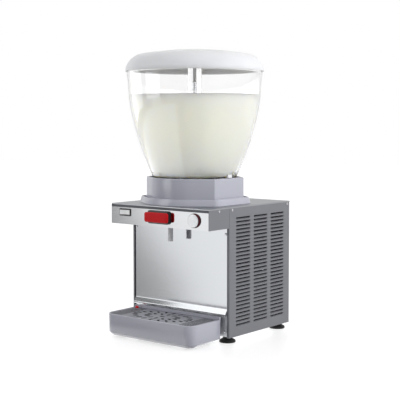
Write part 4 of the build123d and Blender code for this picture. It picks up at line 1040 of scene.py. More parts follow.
    def build(self) -> None:
        """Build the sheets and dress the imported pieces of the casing."""
        for side in Side:
            self.panel(side)
        self.splash_panel()
        dress(GREY_PAINT, "header_shell")
        dress(MATT_STEEL, "base_pan")
        dress(FRONT_STEEL, "tray_support")
        dress(COVER_STEEL, "top_cover")
        dress(FASCIA_STEEL, "fascia")
        dress(GREY_SEAL, "fascia_seal")
        dress(BLACK_MOULDING, "power_inlet")


@dataclass
class Screws:
    """Pan-head casing screws with a cross recess."""

    length: float = 6.8
    shank_most: float = 3.0
    radius: float = 3.6
    height: float = 1.8
    rim_fall: float = 0.75
    recess: float = 0.9
    arm: float = 2.0
    arm_half: float = 0.45
    arm_ease: float = 0.2
    tip_ease: float = 0.3
    sink: float = 0.2
    rings: int = 12
    steps: int = 48

    def head(self) -> np.ndarray:
        """One head as a polar grid, looking up, with a skirt down into the sheet.

        Height falls with the fourth power of the radius; the cross is a smooth step down where the smaller
        of the two distances from the arms' middle lines is under half an arm's width.

        Returns:
            The grid, radius by turn.
        """
        share = np.concatenate([[0.0], np.linspace(0.15, 1.0, self.rings)])[:, None]
        turn = np.arange(self.steps) * FULL_TURN / self.steps
        x, y = share * self.radius * np.cos(turn), share * self.radius * np.sin(turn)
        near = np.minimum(np.abs(x), np.abs(y))
        far = np.maximum(np.abs(x), np.abs(y))
        across = np.clip((self.arm_half - near) / self.arm_ease + 0.5, 0.0, 1.0)
        along = np.clip((self.arm - far) / self.tip_ease, 0.0, 1.0)
        dome = self.height * (1.0 - self.rim_fall * share ** 4)
        head = np.stack([x, y, dome - self.recess * across * along], axis=-1)
        return np.concatenate([head, head[-1:] * (1.0, 1.0, 0.0) - (0.0, 0.0, self.sink)])

    @staticmethod
    def clouds() -> list[np.ndarray]:
        """Points of each packed screw, in millimetres.

        Every point has a number. Points that an edge joins take the lower number of the two until nothing
        changes, and then each screw's points share one number.

        Returns:
            One array of points for each screw.
        """
        mesh = bpy.data.meshes.new("merged_screws")
        work = bmesh.new()
        work.from_mesh(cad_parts["casing_screws"].data)
        bmesh.ops.remove_doubles(work, verts=work.verts, dist=MERGE_WITHIN)
        work.to_mesh(mesh)
        work.free()
        points = np.zeros(3 * len(mesh.vertices))
        mesh.vertices.foreach_get("co", points)
        edges = np.zeros(2 * len(mesh.edges), np.int32)
        mesh.edges.foreach_get("vertices", edges)
        bpy.data.meshes.remove(mesh)
        numbers = np.arange(points.size // 3)
        changed = True
        while changed:
            lower = numbers.copy()
            np.minimum.at(lower, edges, np.repeat(numbers[edges].reshape(-1, 2).min(axis=1), 2))
            changed = bool((lower < numbers).any())
            numbers = lower
        return [points.reshape(-1, 3)[numbers == number] / MM for number in np.unique(numbers)]

    def build(self) -> None:
        """Place a head on every casing screw's seat.

        A screw's axis is the one along which it has its length, and its head is its wide end.
        """
        head = self.head()
        skin = Skin()
        for cloud in self.clouds():
            middle = (cloud.min(axis=0) + cloud.max(axis=0)) / 2.0
            axis = int(np.argmin(np.abs(np.ptp(cloud, axis=0) - self.length)))
            reach = np.hypot(*np.delete(cloud - middle, axis, axis=1).T)
            wide = cloud[reach > self.shank_most][:, axis]
            forward = wide.mean() > middle[axis]
            look = Vector()
            look[axis] = 1.0 if forward else -1.0
            middle[axis] = wide.min() if forward else wide.max()
            turn = np.array(look.to_track_quat("Z", "Y").to_matrix())
            skin.add(head @ turn.T + middle)
        add_piece("screw_heads", skin, Seat("cabinet", "screw_steel", ("casing_screws",)), ZINC)


@dataclass
class Collar:
    """Moulded collar under the bowl: a tall ring in a base with a gutter.

    In plan it has flat sides, and facets that run from them into a round front and a round back.
    """

    half_width: float = 119.0
    side_half: float = 63.0
    front_radius: float = 121.0
    corner_radius: float = 5.0
    plan_steps: int = 17
    wall: float = 4.0
    edge: float = 3.0
    inner_edge: float = 0.8
    low_edge: float = 0.3
    foot_offset: float = 19.0
    foot_edge: float = 0.8
    top_offset: float = 14.0
    top_edge: float = 1.0
    gutter_wall: float = 2.5
    gutter_width: float = 9.5
    gutter_depth: float = 6.0
    gutter_edges: tuple[float, float, float] = (0.8, 1.2, 0.6)
    seam: float = 0.05

    def plan(self, axis: Sequence[float]) -> Plan:
        """The plan about the bowl's axis.

        A facet's direction is the one in which a line from a side's corner just touches the front circle.

        Args:
            axis: where the bowl's axis stands.

        Returns:
            The plan.
        """
        half, side, front = self.half_width, self.side_half, self.front_radius
        lean = math.atan2(side, half) + math.acos(front / math.hypot(half, side))
        tip = front / math.sin(lean)
        quarter = [(0.0, -tip, front), (half, -side, self.corner_radius), (half, side, self.corner_radius)]
        corners = quarter + [(-x, -y, radius) for x, y, radius in quarter]
        placed = [(axis[0] + x, axis[1] + y, radius) for x, y, radius in corners]
        return Plan(placed, steps=self.plan_steps)

    def build(self) -> None:
        """Carry the two sections round the plan."""
        plan = self.plan(axis_of("collar_ring"))
        low, high = box_of("collar_ring")[:, 2]
        wall = eased([
            (0.0, low, self.low_edge), (0.0, high, self.edge), (-self.wall, high, self.inner_edge),
            (-self.wall, low, self.low_edge),
        ])
        skin = Skin().add(plan.carried(wall), loop=True)
        add_piece("collar_wall", skin, Seat("cabinet", "grey_plastic", ("collar_ring",)), GREY_MOULDING)
        top = box_of("collar_base")[1, 2]
        bed = top - self.gutter_depth
        out = self.top_offset - self.gutter_wall
        inner = out - self.gutter_width
        brim, floor, lip = self.gutter_edges
        skirt = eased([
            (self.seam, low, 0.0), (self.foot_offset, low, self.foot_edge),
            (self.top_offset, top, self.top_edge), (out, top, brim), (out, bed, floor), (inner, bed, floor),
            (inner, top, lip), (self.seam, top, self.low_edge),
        ])
        skin = Skin().add(plan.carried(skirt), loop=True)
        add_piece("collar_skirt", skin, Seat("cabinet", "grey_plastic", ("collar_base",)), GREY_MOULDING)


@dataclass
class Bowl:
    """Clear bell-shaped bowl with its drink and its domed lid."""

    steps: int = 144
    height: float = 284.0
    wall: float = 3.0
    foot_r: float = 115.0
    foot_edge: float = 2.0
    foot_points: int = 4
    bed_edges: tuple[float, float] = (1.0, 3.0)
    hip: tuple[float, float] = (152.0, 97.0)
    shoulder: tuple[float, float] = (173.0, 178.0)
    belly: tuple[float, float] = (179.0, 228.0)
    rim_r: float = 184.6
    rim_round: float = 0.8
    neck_r: float = 64.0
    neck_edge: float = 1.0
    outlet_r: float = 9.0
    outlet_bore: float = 6.5
    outlet_offset: float = 101.5
    outlet_steps: int = 32
    lug: tuple[float, float, float] = (9.0, 18.0, 9.0)
    lug_round: float = 2.5
    lug_edges: tuple[float, float] = (1.0, 1.5)
    lug_out: float = 1.5
    lug_lift: float = 0.3
    drink_gap: float = 0.06
    drink_edge: float = 2.0
    tube_gap: float = 1.6
    paddle_gap: float = 2.0
    paddle_room: float = 2.5
    meniscus: float = 2.0
    meniscus_reach: float = 1.5
    lid_skirt: float = 3.0
    lid_edge: float = 5.0
    lid_turn: tuple[float, float] = (12.5, 28.0)
    lid_shoulder: tuple[float, float] = (37.0, 43.0)
    lid_crown: float = 13.0
    lid_thick: float = 2.5
    lid_seat: float = 5.0
    lid_slide: float = 0.4
    skirt_edges: tuple[float, float] = (0.4, 0.6)

    def __post_init__(self) -> None:
        """Take the axis, the levels and the lid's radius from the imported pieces."""
        self.axis = axis_of("bowl")
        self.low, self.rim = box_of("bowl")[:, 2]
        self.foot = self.rim - self.height
        self.lid_r = radius_of("lid")

    def bell(self, inset: float) -> np.ndarray:
        """Bell from foot to rim, drawn in by an inset: three arcs, each tangent to the one before.

        Args:
            inset: how far each radius is drawn in.

        Returns:
            (radius, height) points.
        """
        stations = [
            (radius - inset, self.foot + rise)
            for radius, rise in (self.hip, self.shoulder, self.belly, (self.rim_r, self.height))
        ]
        flank = arc_through((self.foot_r - inset, self.foot), stations[0], stations[1], 33)
        flank_turn = np.concatenate([flank, arc_onward(flank, stations[2], 9)])
        return np.concatenate([flank_turn, arc_onward(flank_turn, stations[3], 9)])

    def bowl(self) -> None:
        """Clear wall as one closed section turned about the axis, with its outlet."""
        outer = self.bell(0.0)[self.foot_points:-1]
        inner = self.bell(self.wall)[::-1]
        floor = self.foot + self.wall
        inner = inner[inner[:, 1] > floor + self.wall]
        neck_low = box_of("bowl_seal")[1, 2]
        outside = self.neck_r + self.wall
        corner = eased([
            (outside, self.foot, self.neck_edge), (self.foot_r, self.foot, self.foot_edge),
            (*outer[0], 0.0), (self.neck_r, self.rim, 0.0),
        ])[:-2]
        turn = np.linspace(0.0, math.pi, 7)
        half = self.wall / 2.0
        rim = np.stack([
            self.rim_r - half + half * np.cos(turn),
            self.rim - self.rim_round + self.rim_round * np.sin(turn),
        ], axis=1)
        bed_r = self.foot_r - self.wall
        up, along = self.bed_edges
        section = np.concatenate([
            [(self.neck_r, neck_low), (outside, neck_low)], corner, outer, rim, inner[1:],
            [(bed_r - up, floor + up), (bed_r - along, floor), (self.neck_r, floor)],
        ])
        skin = Skin().add(turned(section, self.axis, self.steps), loop=True)
        nipple = np.array([
            (self.outlet_bore, self.low), (self.outlet_r, self.low), (self.outlet_r, self.foot),
            (self.outlet_bore, self.foot),
        ])
        outlet = (self.axis[0], self.axis[1] - self.outlet_offset)
        skin.add(turned(nipple, outlet, self.outlet_steps), loop=True)
        add_piece("bowl_wall", skin, Seat("bowl", "clear_plastic", ("bowl",)), CLEAR_BOWL)

    def lugs(self) -> None:
        """Two moulded lugs beside the foot, just over the collar's flat sides."""
        length, width, height = self.lug
        low = box_of("collar_ring")[1, 2] + self.lug_lift
        under, over = self.lug_edges
        plan = Plan(rectangle(length, width, self.lug_round), steps=5)
        block = plan.carried([(-under, 0.0), (0.0, under), (0.0, height - over), (-over, height)])
        skin = Skin()
        for way in (-1.0, 1.0):
            place = (self.axis[0] + way * (self.foot_r + self.lug_out), self.axis[1], low)
            skin.add(block + place, caps=True)
        add_piece("bowl_lugs", skin, Seat("bowl", "white_plastic"), WHITE_MOULDING)

    def drink(self) -> None:
        """The drink: a bell filled to its level, hollow round the agitator.

        At the wall it climbs by a meniscus that dies away with the exponential of the distance.
        """
        floor, level = box_of("drink_fill")[:, 2]
        dome, crown = box_of("agitator_paddle")[:, 2] + (-self.paddle_room, self.paddle_room)
        tube_r = radius_of("agitator_tube") + self.tube_gap
        paddle_r = radius_of("agitator_paddle") + self.paddle_gap
        bell = self.bell(self.wall + self.drink_gap)
        side = bell[(bell[:, 1] > floor + self.drink_edge) & (bell[:, 1] < level)]
        fade = np.array([0.0, 0.4, 1.0, 2.0, 3.5, 6.0])
        sunk = self.meniscus * (1.0 - np.exp(-fade / self.meniscus_reach))
        top = np.stack([np.interp(level, *bell[:, ::-1].T) - fade, level - sunk], axis=1)
        inner = np.array([
            (tube_r, level - self.meniscus), (tube_r, crown), (paddle_r, crown), (paddle_r, dome),
            (self.neck_r, dome), (self.neck_r, floor), (side[0, 0] - self.drink_edge, floor),
        ])
        section = np.concatenate([side, top, inner])
        add_turned("drink", section, self.axis, self.steps, Seat("bowl", "drink", ("drink_fill",)), DRINK)

    def dome(self, radius: float, drop: float) -> np.ndarray:
        """Lid's outline from its edge to its crown: a side arc and a shallow crown about the axis.

        Args:
            radius: radius at the edge.
            drop: how far it lies under the outer dome.

        Returns:
            (radius, height) points.
        """
        shoulder = (self.lid_r - self.lid_shoulder[0] - drop, self.rim + self.lid_shoulder[1] - drop)
        turn = (radius - self.lid_turn[0], self.rim + self.lid_turn[1] - drop)
        side = arc_through((radius, self.rim + self.lid_edge), turn, shoulder, 21)
        ball = (shoulder[0] ** 2 + self.lid_crown ** 2) / (2.0 * self.lid_crown)
        crown = shoulder[1] + self.lid_crown
        top = arc_about(shoulder, (0.0, crown - ball), math.asin(shoulder[0] / ball), 15)[1:]
        top[-1, 0] = 0.0
        return np.concatenate([side, top])

    def lid(self) -> None:
        """Domed lid: inner dome, seat on the rim, skirt round it and outer dome, turned as one section."""
        seat_r = self.rim_r - self.lid_seat
        low = self.rim - self.lid_skirt
        room = self.rim_r + self.lid_slide
        inside, outside = self.skirt_edges
        skirt = np.array([
            (seat_r, self.rim), (room, self.rim), (room, low + inside), (room + inside, low),
            (self.lid_r - outside, low), (self.lid_r, low + outside),
        ])
        section = np.concatenate([
            self.dome(seat_r, self.lid_thick)[::-1], skirt, self.dome(self.lid_r, 0.0),
        ])
        seat = Seat("lid", "white_plastic", ("lid",))
        add_turned("lid_dome", section, self.axis, self.steps, seat, LID_MOULDING)

    def build(self) -> None:
        """Build bowl, lugs, drink and lid."""
        self.bowl()
        self.lugs()
        self.drink()
        self.lid()


@dataclass
class Agitator:
    """Clear agitator tube round the standpipe, on the drive shaft."""

    wall: float = 1.2
    hub: float = 6.0
    edge: float = 0.5
    rise: float = 32.0
    fit: float = 0.02
    rod_r: float = 4.6
    rod_gap: float = 0.2
    tube_steps: int = 64
    rod_steps: int = 48

    def build(self) -> None:
        """Turn the tube as one closed section with its hub, and the rod in it, and dress the drive.

        The tube and the rod stand up to just under the lid.
        """
        axis = axis_of("agitator_tube")
        outer = radius_of("agitator_tube")
        low, high = box_of("agitator_tube")[:, 2] + (0.0, self.rise)
        shaft = radius_of("drive_shaft") + self.fit
        inner = outer - self.wall
        under = high - self.hub
        tube = eased([
            (outer, low, self.edge), (outer, high, self.edge), (shaft, high, 0.0), (shaft, under, 0.0),
            (inner, under, 0.0), (inner, low, self.edge),
        ])
        seat = Seat("agitator", "clear_plastic", ("agitator_tube",))
        add_turned("agitator_sleeve", tube, axis, self.tube_steps, seat, CLEAR_BOWL)
        foot = box_of("agitator_paddle")[1, 2] + self.hub
        top = under - self.rod_gap
        rod = eased([
            (shaft, foot, 0.0), (self.rod_r, foot, self.edge), (self.rod_r, top, self.edge),
            (shaft, top, 0.0),
        ])
        seat = Seat("agitator", "white_plastic")
        add_turned("agitator_rod", rod, axis, self.rod_steps, seat, WHITE_MOULDING)
        dress(WHITE_MOULDING, "agitator_paddle")
        dress(STAINLESS, "drive_shaft")


@dataclass
class Controls:
    """Push button, knob and rocker switch on the fascia."""

    button_round: float = 6.0
    button_edge: float = 1.6
    button_back: float = 0.5
    button_thick: float = 5.0
    button_crown: float = 0.35
    crown_steps: tuple[float, ...] = (2.5, 4.0, 5.8)
    core_inset: float = 8.0
    core_round: float = 3.0
    core_gap: float = 0.4
    core_lap: float = 0.2
    bezel_edge: float = 1.2
    bezel_grow: float = 2.0
    button_trim: float = 3.0
    knob_reach: float = 8.5
    knob_length: float = 5.5
    knob_taper: float = 1.5
    knob_sink: float = 0.8
    knob_edges: tuple[float, float, float] = (0.6, 0.4, 0.3)
    knob_steps: int = 72
    cap_margin: float = 0.7
    cap_gap: float = 0.15
    cap_edges: tuple[float, float] = (0.5, 0.8)
    cap_dish: tuple[float, float] = (2.4, 0.25)
    rocker: tuple[float, float, float] = (32.0, 12.0, 6.5)
    rocker_tilt: float = 8.0
    rocker_hollow: float = 18.0
    rocker_edges: tuple[float, float] = (0.8, 0.4)
    rocker_bevel: float = 0.5
    rocker_gap: tuple[float, float] = (0.8, 0.4)
    frame_proud: float = 2.0
    frame_edge: float = 0.6
    frame_depth: float = 6.0
    frame_rounds: tuple[float, float] = (2.0, 1.0)
    pin_r: float = 1.2

    def __post_init__(self) -> None:
        """Take the fascia's face and the button's core, which slides in the bezel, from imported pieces."""
        self.face = box_of("fascia")[0, 1]
        self.core = np.ptp(box_of("push_button"), axis=0)[[0, 2]] - 2.0 * self.core_inset

    @staticmethod
    def surround(outer: Corner, opening: Corner, proud: float, deep: float, edge: float) -> np.ndarray:
        """Raised frame with a straight-sided opening, as one closed grid that looks up.

        Its section runs up the outside, over an edge rounded by a chamfer, across the face, and down the
        opening; each half is carried round its own plan.

        Args:
            outer: width, height and corner radius of the outside.
            opening: width, height and corner radius of the opening.
            proud: how far the face stands up.
            deep: how far the opening goes down.
            edge: size of the chamfers.

        Returns:
            The grid, section by plan.
        """
        soft = 0.3 * edge
        outside = [(0.0, 0.0), (0.0, proud - edge), (-soft, proud - soft), (-edge, proud)]
        inside = [(edge, proud), (soft, proud - soft), (0.0, proud - edge), (0.0, -deep)]
        plans = (Plan(rectangle(*size)) for size in (outer, opening))
        return np.concatenate([plan.carried(half) for plan, half in zip(plans, (outside, inside))])

    def trimmed(self, node: str) -> np.ndarray:
        """Box of the button's plate or bezel, made narrower at its right.

        Args:
            node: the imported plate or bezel.

        Returns:
            Its lowest and its highest corner.
        """
        corners = box_of(node)
        corners[1, 0] -= self.button_trim
        return corners

    def push_button(self) -> None:
        """Wide red button on its core: a swelling face, and an edge rounded by a quarter circle."""
        corners = self.trimmed("push_button")
        middle = corners.mean(axis=0)
        width, _, height = np.ptp(corners, axis=0)
        edge, thick, back = self.button_edge, self.button_thick, self.button_back
        curve = np.linspace(0.0, math.pi / 2.0, 6)
        shoulder = np.stack([-edge + edge * np.cos(curve), thick - edge + edge * np.sin(curve)], axis=1)
        steps = np.array(self.crown_steps)
        swell = self.button_crown * (steps - edge) / (steps[-1] - edge)
        profile = np.concatenate([
            [(-back, 0.0), (0.0, back)], shoulder, np.stack([-steps, thick + swell], axis=1),
        ])
        place = (middle[0], corners[0, 1] + thick, middle[2])
        plate = Plan(rectangle(width, height, self.button_round))
        core = Plan(rectangle(*self.core, self.core_round), steps=5)
        stem = core.carried([(0.0, place[1] - self.face), (0.0, self.core_lap)])
        skin = Skin().add(to_front(plate.carried(profile), place), caps=True)
        skin.add(to_front(stem, place), caps=True)
        add_piece("button_plate", skin, Seat("push_button", "red_plastic", ("push_button",)), RED_MOULDING)

    def bezel(self) -> None:
        """Black frame behind the button's plate, a little taller than it, open for the button's core."""
        corners = self.trimmed("button_bezel")
        middle = corners.mean(axis=0)
        width, _, height = np.ptp(corners, axis=0)
        grid = self.surround(
            (width, height + 2.0 * self.bezel_grow, self.button_round),
            (*(self.core + 2.0 * self.core_gap), self.core_round),
            self.face - corners[0, 1], corners[1, 1] - self.face, self.bezel_edge,
        )
        skin = Skin().add(to_front(grid, (middle[0], self.face, middle[2])), loop=True)
        add_piece("button_frame", skin, Seat("cabinet", "black_plastic", ("button_bezel",)), BLACK_MOULDING)

    def knob(self) -> None:
        """Tapered maroon knob and the satin disc in its face, both turned about a level axis."""
        corners = box_of("knob")
        middle = corners.mean(axis=0)
        radius = radius_of("knob")
        front = radius - self.knob_taper
        cap_r = front - self.cap_margin
        place = (middle[0], corners[0, 1] + self.knob_reach, middle[2])
        bed = self.knob_length - self.knob_sink
        room = cap_r + self.cap_gap
        foot, rim, lip = self.knob_edges
        grip = eased([
            (0.0, 0.0, 0.0), (radius, 0.0, foot), (front, self.knob_length, rim),
            (room, self.knob_length, lip), (room, bed, 0.0), (0.0, bed, 0.0),
        ])
        top = self.knob_length + corners[0, 1] - box_of("knob_cap")[0, 1]
        inward, down = self.cap_dish
        edge, dish = self.cap_edges
        disc = eased([
            (0.0, bed, 0.0), (cap_r, bed, 0.0), (cap_r, top, edge), (cap_r - inward, top - down, dish),
            (0.0, top - down, 0.0),
        ])
        satin = SpunAluminium("spun_aluminium", "#c2c4c6", centre=tuple(middle))
        for name, outline, slot, node, finish in (
            ("knob_grip", grip, "red_plastic", "knob", MAROON_MOULDING),
            ("knob_disc", disc, "satin_cap", "knob_cap", satin),
        ):
            skin = Skin().add(to_front(turned(outline, (0.0, 0.0), self.knob_steps), place))
            add_piece(name, skin, Seat("knob", slot, (node,)), finish)

    def rocker_switch(self) -> None:
        """White rocker: a hollow-faced section carried along Z, tipped to its stop, in a black frame."""
        corners = box_of("rocker_frame")
        middle = corners.mean(axis=0)
        width, height, thick = self.rocker
        turn = math.radians(self.rocker_tilt)
        half = width / 2.0
        crest = self.face - self.frame_proud
        top = crest - half * math.sin(turn)
        rim, foot = self.rocker_edges
        outline = eased([
            (-half, top, rim), (0.0, crest, self.rocker_hollow), (half, top, rim),
            (half, top + thick, foot), (-half, top + thick, foot),
        ], steps=7)
        pivot = np.array([0.0, self.face + self.pin_r])
        spin = np.array([[math.cos(turn), math.sin(turn)], [-math.sin(turn), math.cos(turn)]])
        grid = np.zeros((2, len(outline), 3))
        grid[..., :2] = (outline - pivot) @ spin + pivot + (middle[0], 0.0)
        grid[..., 2] = (middle[2] + np.array([-0.5, 0.5]) * height)[:, None]
        seat = Seat("rocker", "white_plastic", ("rocker",))
        piece = add_piece("rocker_cap", Skin().add(grid, caps=True), seat, ROCKER_MOULDING)
        rounding = piece.modifiers.new("edges", "BEVEL")
        rounding.width = self.rocker_bevel * MM
        rounding.segments = 2
        size = np.ptp(corners, axis=0)
        outside, inside = self.frame_rounds
        rim = self.surround(
            (size[0], size[2], outside),
            (width + 2.0 * self.rocker_gap[0], height + 2.0 * self.rocker_gap[1], inside),
            self.frame_proud, self.frame_depth, self.frame_edge,
        )
        skin = Skin().add(to_front(rim, (middle[0], self.face, middle[2])), loop=True)
        add_piece("rocker_rim", skin, Seat("cabinet", "black_plastic", ("rocker_frame",)), BLACK_MOULDING)

    def build(self) -> None:
        """Build the controls and dress what is behind them."""
        self.push_button()
        self.bezel()
        self.knob()
        self.rocker_switch()
        dress(BLACK_MOULDING, "button_switch", "potentiometer")
        dress(GREEN_BOARD, "control_board")


@dataclass
class Dispensing:
    """Spout, valve and drip tray."""

    spout_bore: float = 4.6
    spout_wall: float = 2.2
    spout_steps: int = 48
    header_sheet: float = 1.2
    flange: float = 2.0
    tray_round: float = 27.0
    tray_back_round: float = 8.0
    tray_steps: int = 11
    tray_draft: float = 1.0
    tray_chamfer: float = 8.0
    tray_rim: float = 2.6
    tray_rise: float = 6.3
    rise_round: float = 5.0
    tray_wall: float = 6.0
    tray_bed: float = 6.1
    tray_channel: float = 3.6
    tray_edge: float = 0.6
    well_round: float = 2.6
    float_body: float = 7.0
    float_cap: float = 4.4
    float_neck: float = 10.4
    float_edge: float = 1.5
    float_steps: int = 40

    def spout(self) -> None:
        """White nozzle as one closed section turned about the outlet's axis."""
        low, high = box_of("spout")[:, 2]
        wide = radius_of("spout")
        seat = box_of("header_shell")[0, 2] + self.header_sheet
        over = seat + self.flange
        bore = self.spout_bore
        outer = bore + self.spout_wall
        section = eased([
            (bore, low, 0.5), (outer, low, 1.0), (outer, seat, 0.3), (wide, seat, 0.4), (wide, over, 0.4),
            (outer, over, 0.3), (outer, high, 0.3), (bore, high, 0.3),
        ])
        place = Seat("cabinet", "white_plastic", ("spout",))
        add_turned("spout_nozzle", section, axis_of("spout"), self.spout_steps, place, WHITE_MOULDING)

    def tray_plan(self, inset: float, front: float, back: float) -> Plan:
        """The tray's plan drawn in by an inset, with the radii of its front and its back corners.

        Args:
            inset: how far it is drawn in.
            front: radius of the front corners.
            back: radius of the back corners.

        Returns:
            The plan.
        """
        corners = box_of("drip_tray")
        x, y, _ = np.ptp(corners, axis=0) / 2.0 - inset
        points = [(x, -y, front), (x, y, back), (-x, y, back), (-x, -y, front)]
        middle = corners.mean(axis=0)
        return Plan([(middle[0] + a, middle[1] + b, radius) for a, b, radius in points], self.tray_steps)

    def tray(self) -> None:
        """Drip tray: walls that draw in towards the foot, a ledge for the grille and a closed bed.

        The rear edge is raised: round the rear corners the rim climbs as a quarter of an ellipse. Short
        steps in the sections ease the edges.
        """
        corners = box_of("drip_tray")
        ledge = box_of("drip_grille")[0, 2]
        rear = corners[1, 1]
        low = corners[0, 2]
        high = corners[1, 2] - self.tray_rise
        draft, edge, rim_in = self.tray_draft, self.tray_edge, self.tray_rim
        drawn_in = draft + self.tray_chamfer
        foot = self.tray_plan(drawn_in, self.tray_round - drawn_in, self.well_round)
        under = low + self.tray_channel
        sunk = -self.tray_chamfer
        sole = foot.carried([(sunk, under), (sunk, low + edge), (sunk + edge, low), (0.0, low)])
        sole[..., 2] = np.where(sole[..., 1] > rear - 2.0 * drawn_in, under, sole[..., 2])
        waist = low + self.tray_chamfer
        climb = np.linspace(0.0, 1.0, 3)[:, None]
        side = np.concatenate([
            [(-draft - 0.9, waist - 1.0), (-draft - 0.2, waist)],
            np.array([-draft, waist + 1.0]) * (1.0 - climb) + np.array([-0.02, high - 1.4]) * climb,
            [(-0.25, high - 0.5), (-0.9, high), (edge - rim_in, high)],
            [(-rim_in, high - edge), (-rim_in, ledge)],
        ])
        wall = self.tray_plan(0.0, self.tray_round, self.tray_back_round).carried(side)
        behind = wall[..., 1] - (rear - self.tray_back_round)
        short = 1.0 - np.clip(behind / self.rise_round, 0.0, 1.0)
        lift = self.tray_rise * np.sqrt(1.0 - short ** 2)
        wall[..., 2] += np.where(wall[..., 2] > high - 1.5, lift, 0.0)
        bed = low + self.tray_bed
        well = self.tray_plan(self.tray_wall, self.tray_round - self.tray_wall, self.well_round)
        hollow = well.carried([(0.0, ledge), (0.0, bed + 2.0), (-0.7, bed + 0.6), (-2.2, bed)])
        skin = Skin().add(np.concatenate([sole, wall, hollow]), caps=True)
        piece = add_piece(
            "tray_shell", skin, Seat("drip_tray", "grey_plastic", ("drip_tray",)), GREY_MOULDING
        )
        self.paint_well_shade(piece.data, bed, ledge)

    def paint_well_shade(self, mesh: bpy.types.Mesh, bed: float, ledge: float) -> None:
        """Paint the well under the grille dark: painted shade where little light reaches.

        Its faces lie between the walls, from the bed to the ledge, and don't look outward.

        Args:
            mesh: the tray's mesh.
            bed: height of the well's bed.
            ledge: height of the grille's ledge.
        """
        # The well's faces take the dark moulding: painted shade under the grille.
        mesh.materials.append(material_of(WELL_SHADE_MOULDING))
        centres, looks = (np.zeros(3 * len(mesh.polygons)) for _ in range(2))
        mesh.polygons.foreach_get("center", centres)
        mesh.polygons.foreach_get("normal", looks)
        corners = box_of("drip_tray")
        room = np.ptp(corners, axis=0) / 2.0 - self.tray_wall
        room[2] = (ledge - bed) / 2.0
        reach = centres.reshape(-1, 3) / MM - (*corners.mean(axis=0)[:2], (bed + ledge) / 2.0)
        outward = np.sum(reach[:, :2] * looks.reshape(-1, 3)[:, :2], axis=1)
        inside = (np.abs(reach) < room + 0.1).all(axis=1) & (outward < 0.1)
        mesh.polygons.foreach_set("material_index", inside.astype(np.int32))

    def float_piece(self) -> None:
        """Red float with a round cap that shows above the grille."""
        low, high = box_of("tray_float")[:, 2]
        shoulder = box_of("drip_grille")[0, 2] - self.float_neck
        edge = self.float_edge
        section = eased([
            (0.0, low, 0.0), (self.float_body, low, edge), (self.float_body, shoulder, edge),
            (self.float_cap, shoulder, 0.5), (self.float_cap, high, edge), (0.0, high, 0.0),
        ])
        seat = Seat("tray_float", "red_plastic", ("tray_float",))
        add_turned("float_cap", section, axis_of("tray_float"), self.float_steps, seat, RED_MOULDING)

    def build(self) -> None:
        """Build spout, tray and float, and dress grille and valve."""
        self.spout()
        self.tray()
        self.float_piece()
        dress(GRILLE_MOULDING, "drip_grille")
        dress(WHITE_ACETAL, "valve_body", "shaft_bush")
        dress(STAINLESS, "valve_plunger")
        dress(BLACK_MOULDING, "solenoid_coil")
        dress(PALE_SILICONE, "outlet_seal", "bowl_seal")


@dataclass
class Feet:
    """Four black levelling feet."""

    disc: float = 5.0
    disc_edges: tuple[float, float] = (1.2, 1.8)
    neck: float = 12.0
    neck_edges: tuple[float, float] = (2.0, 0.5)
    stud: float = 4.0
    stud_edge: float = 0.6
    steps: int = 64
    names: tuple[str, ...] = ("foot_front_left", "foot_front_right", "foot_rear_left", "foot_rear_right")

    def build(self) -> None:
        """Turn each foot: a broad disc with a rounded rim, a sloping shoulder, a neck and a stud."""
        pan = box_of("base_pan")[0, 2]
        shoulder = self.disc + (pan - self.disc) / 2.0
        for name in self.names:
            top = box_of(name)[1, 2]
            radius = radius_of(name)
            section = eased([
                (0.0, 0.0, 0.0), (radius, 0.0, self.disc_edges[0]), (radius, self.disc, self.disc_edges[1]),
                (self.neck, shoulder, self.neck_edges[0]), (self.neck, pan, self.neck_edges[1]),
                (self.stud, pan, 0.0), (self.stud, top, self.stud_edge), (0.0, top, 0.0),
            ])
            seat = Seat(name, "foot_rubber", (name,))
            add_turned(f"{name}_pad", section, axis_of(name), self.steps, seat, BLACK_RUBBER)


class Machinery:
    """Refrigeration, drive and cold parts inside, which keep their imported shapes."""

    @staticmethod
    def build() -> None:
        """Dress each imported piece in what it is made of."""
        dress(DARK_PAINT, "compressor", "condenser_fins", "condenser_tube", "discharge_pipe")
        dress(BLACK_RUBBER, "compressor_mounts", "suction_pipe")
        dress(COPPER, "filter_drier", "evaporator_coil")
        dress(BLACK_MOULDING, "fan_shroud", "fan_blade", "fan_motor")
        dress(STAINLESS, "evaporator", "motor_bracket", "gear_motor")
        dress(FOAM, "foam_base")


@dataclass(frozen=True)
class Softbox:
    """One rectangular studio lamp that looks at a point of the object, mirrored in it or not."""

    name: str
    azimuth: float
    distance: float
    height: float
    size: tuple[float, float]
    radiance: float
    target: float = 400.0
    mirrored: bool = True

    def build(self) -> None:
        """Place the lamp: azimuth is measured from the front towards +X."""
        turn = math.radians(self.azimuth)
        place = Vector((math.sin(turn), -math.cos(turn), 0.0)) * self.distance
        place.z = self.height
        lamp = bpy.data.lights.new(self.name, "AREA")
        lamp.shape = "RECTANGLE"
        lamp.size, lamp.size_y = (side * MM for side in self.size)
        lamp.energy = self.radiance * math.pi * lamp.size * lamp.size_y
        holder = bpy.data.objects.new(self.name, lamp)
        holder.location = place * MM
        holder.visible_glossy = self.mirrored
        look = Vector((0.0, 0.0, self.target)) - place
        holder.rotation_euler = look.to_track_quat("-Z", "Y").to_euler()
        bpy.context.scene.collection.objects.link(holder)


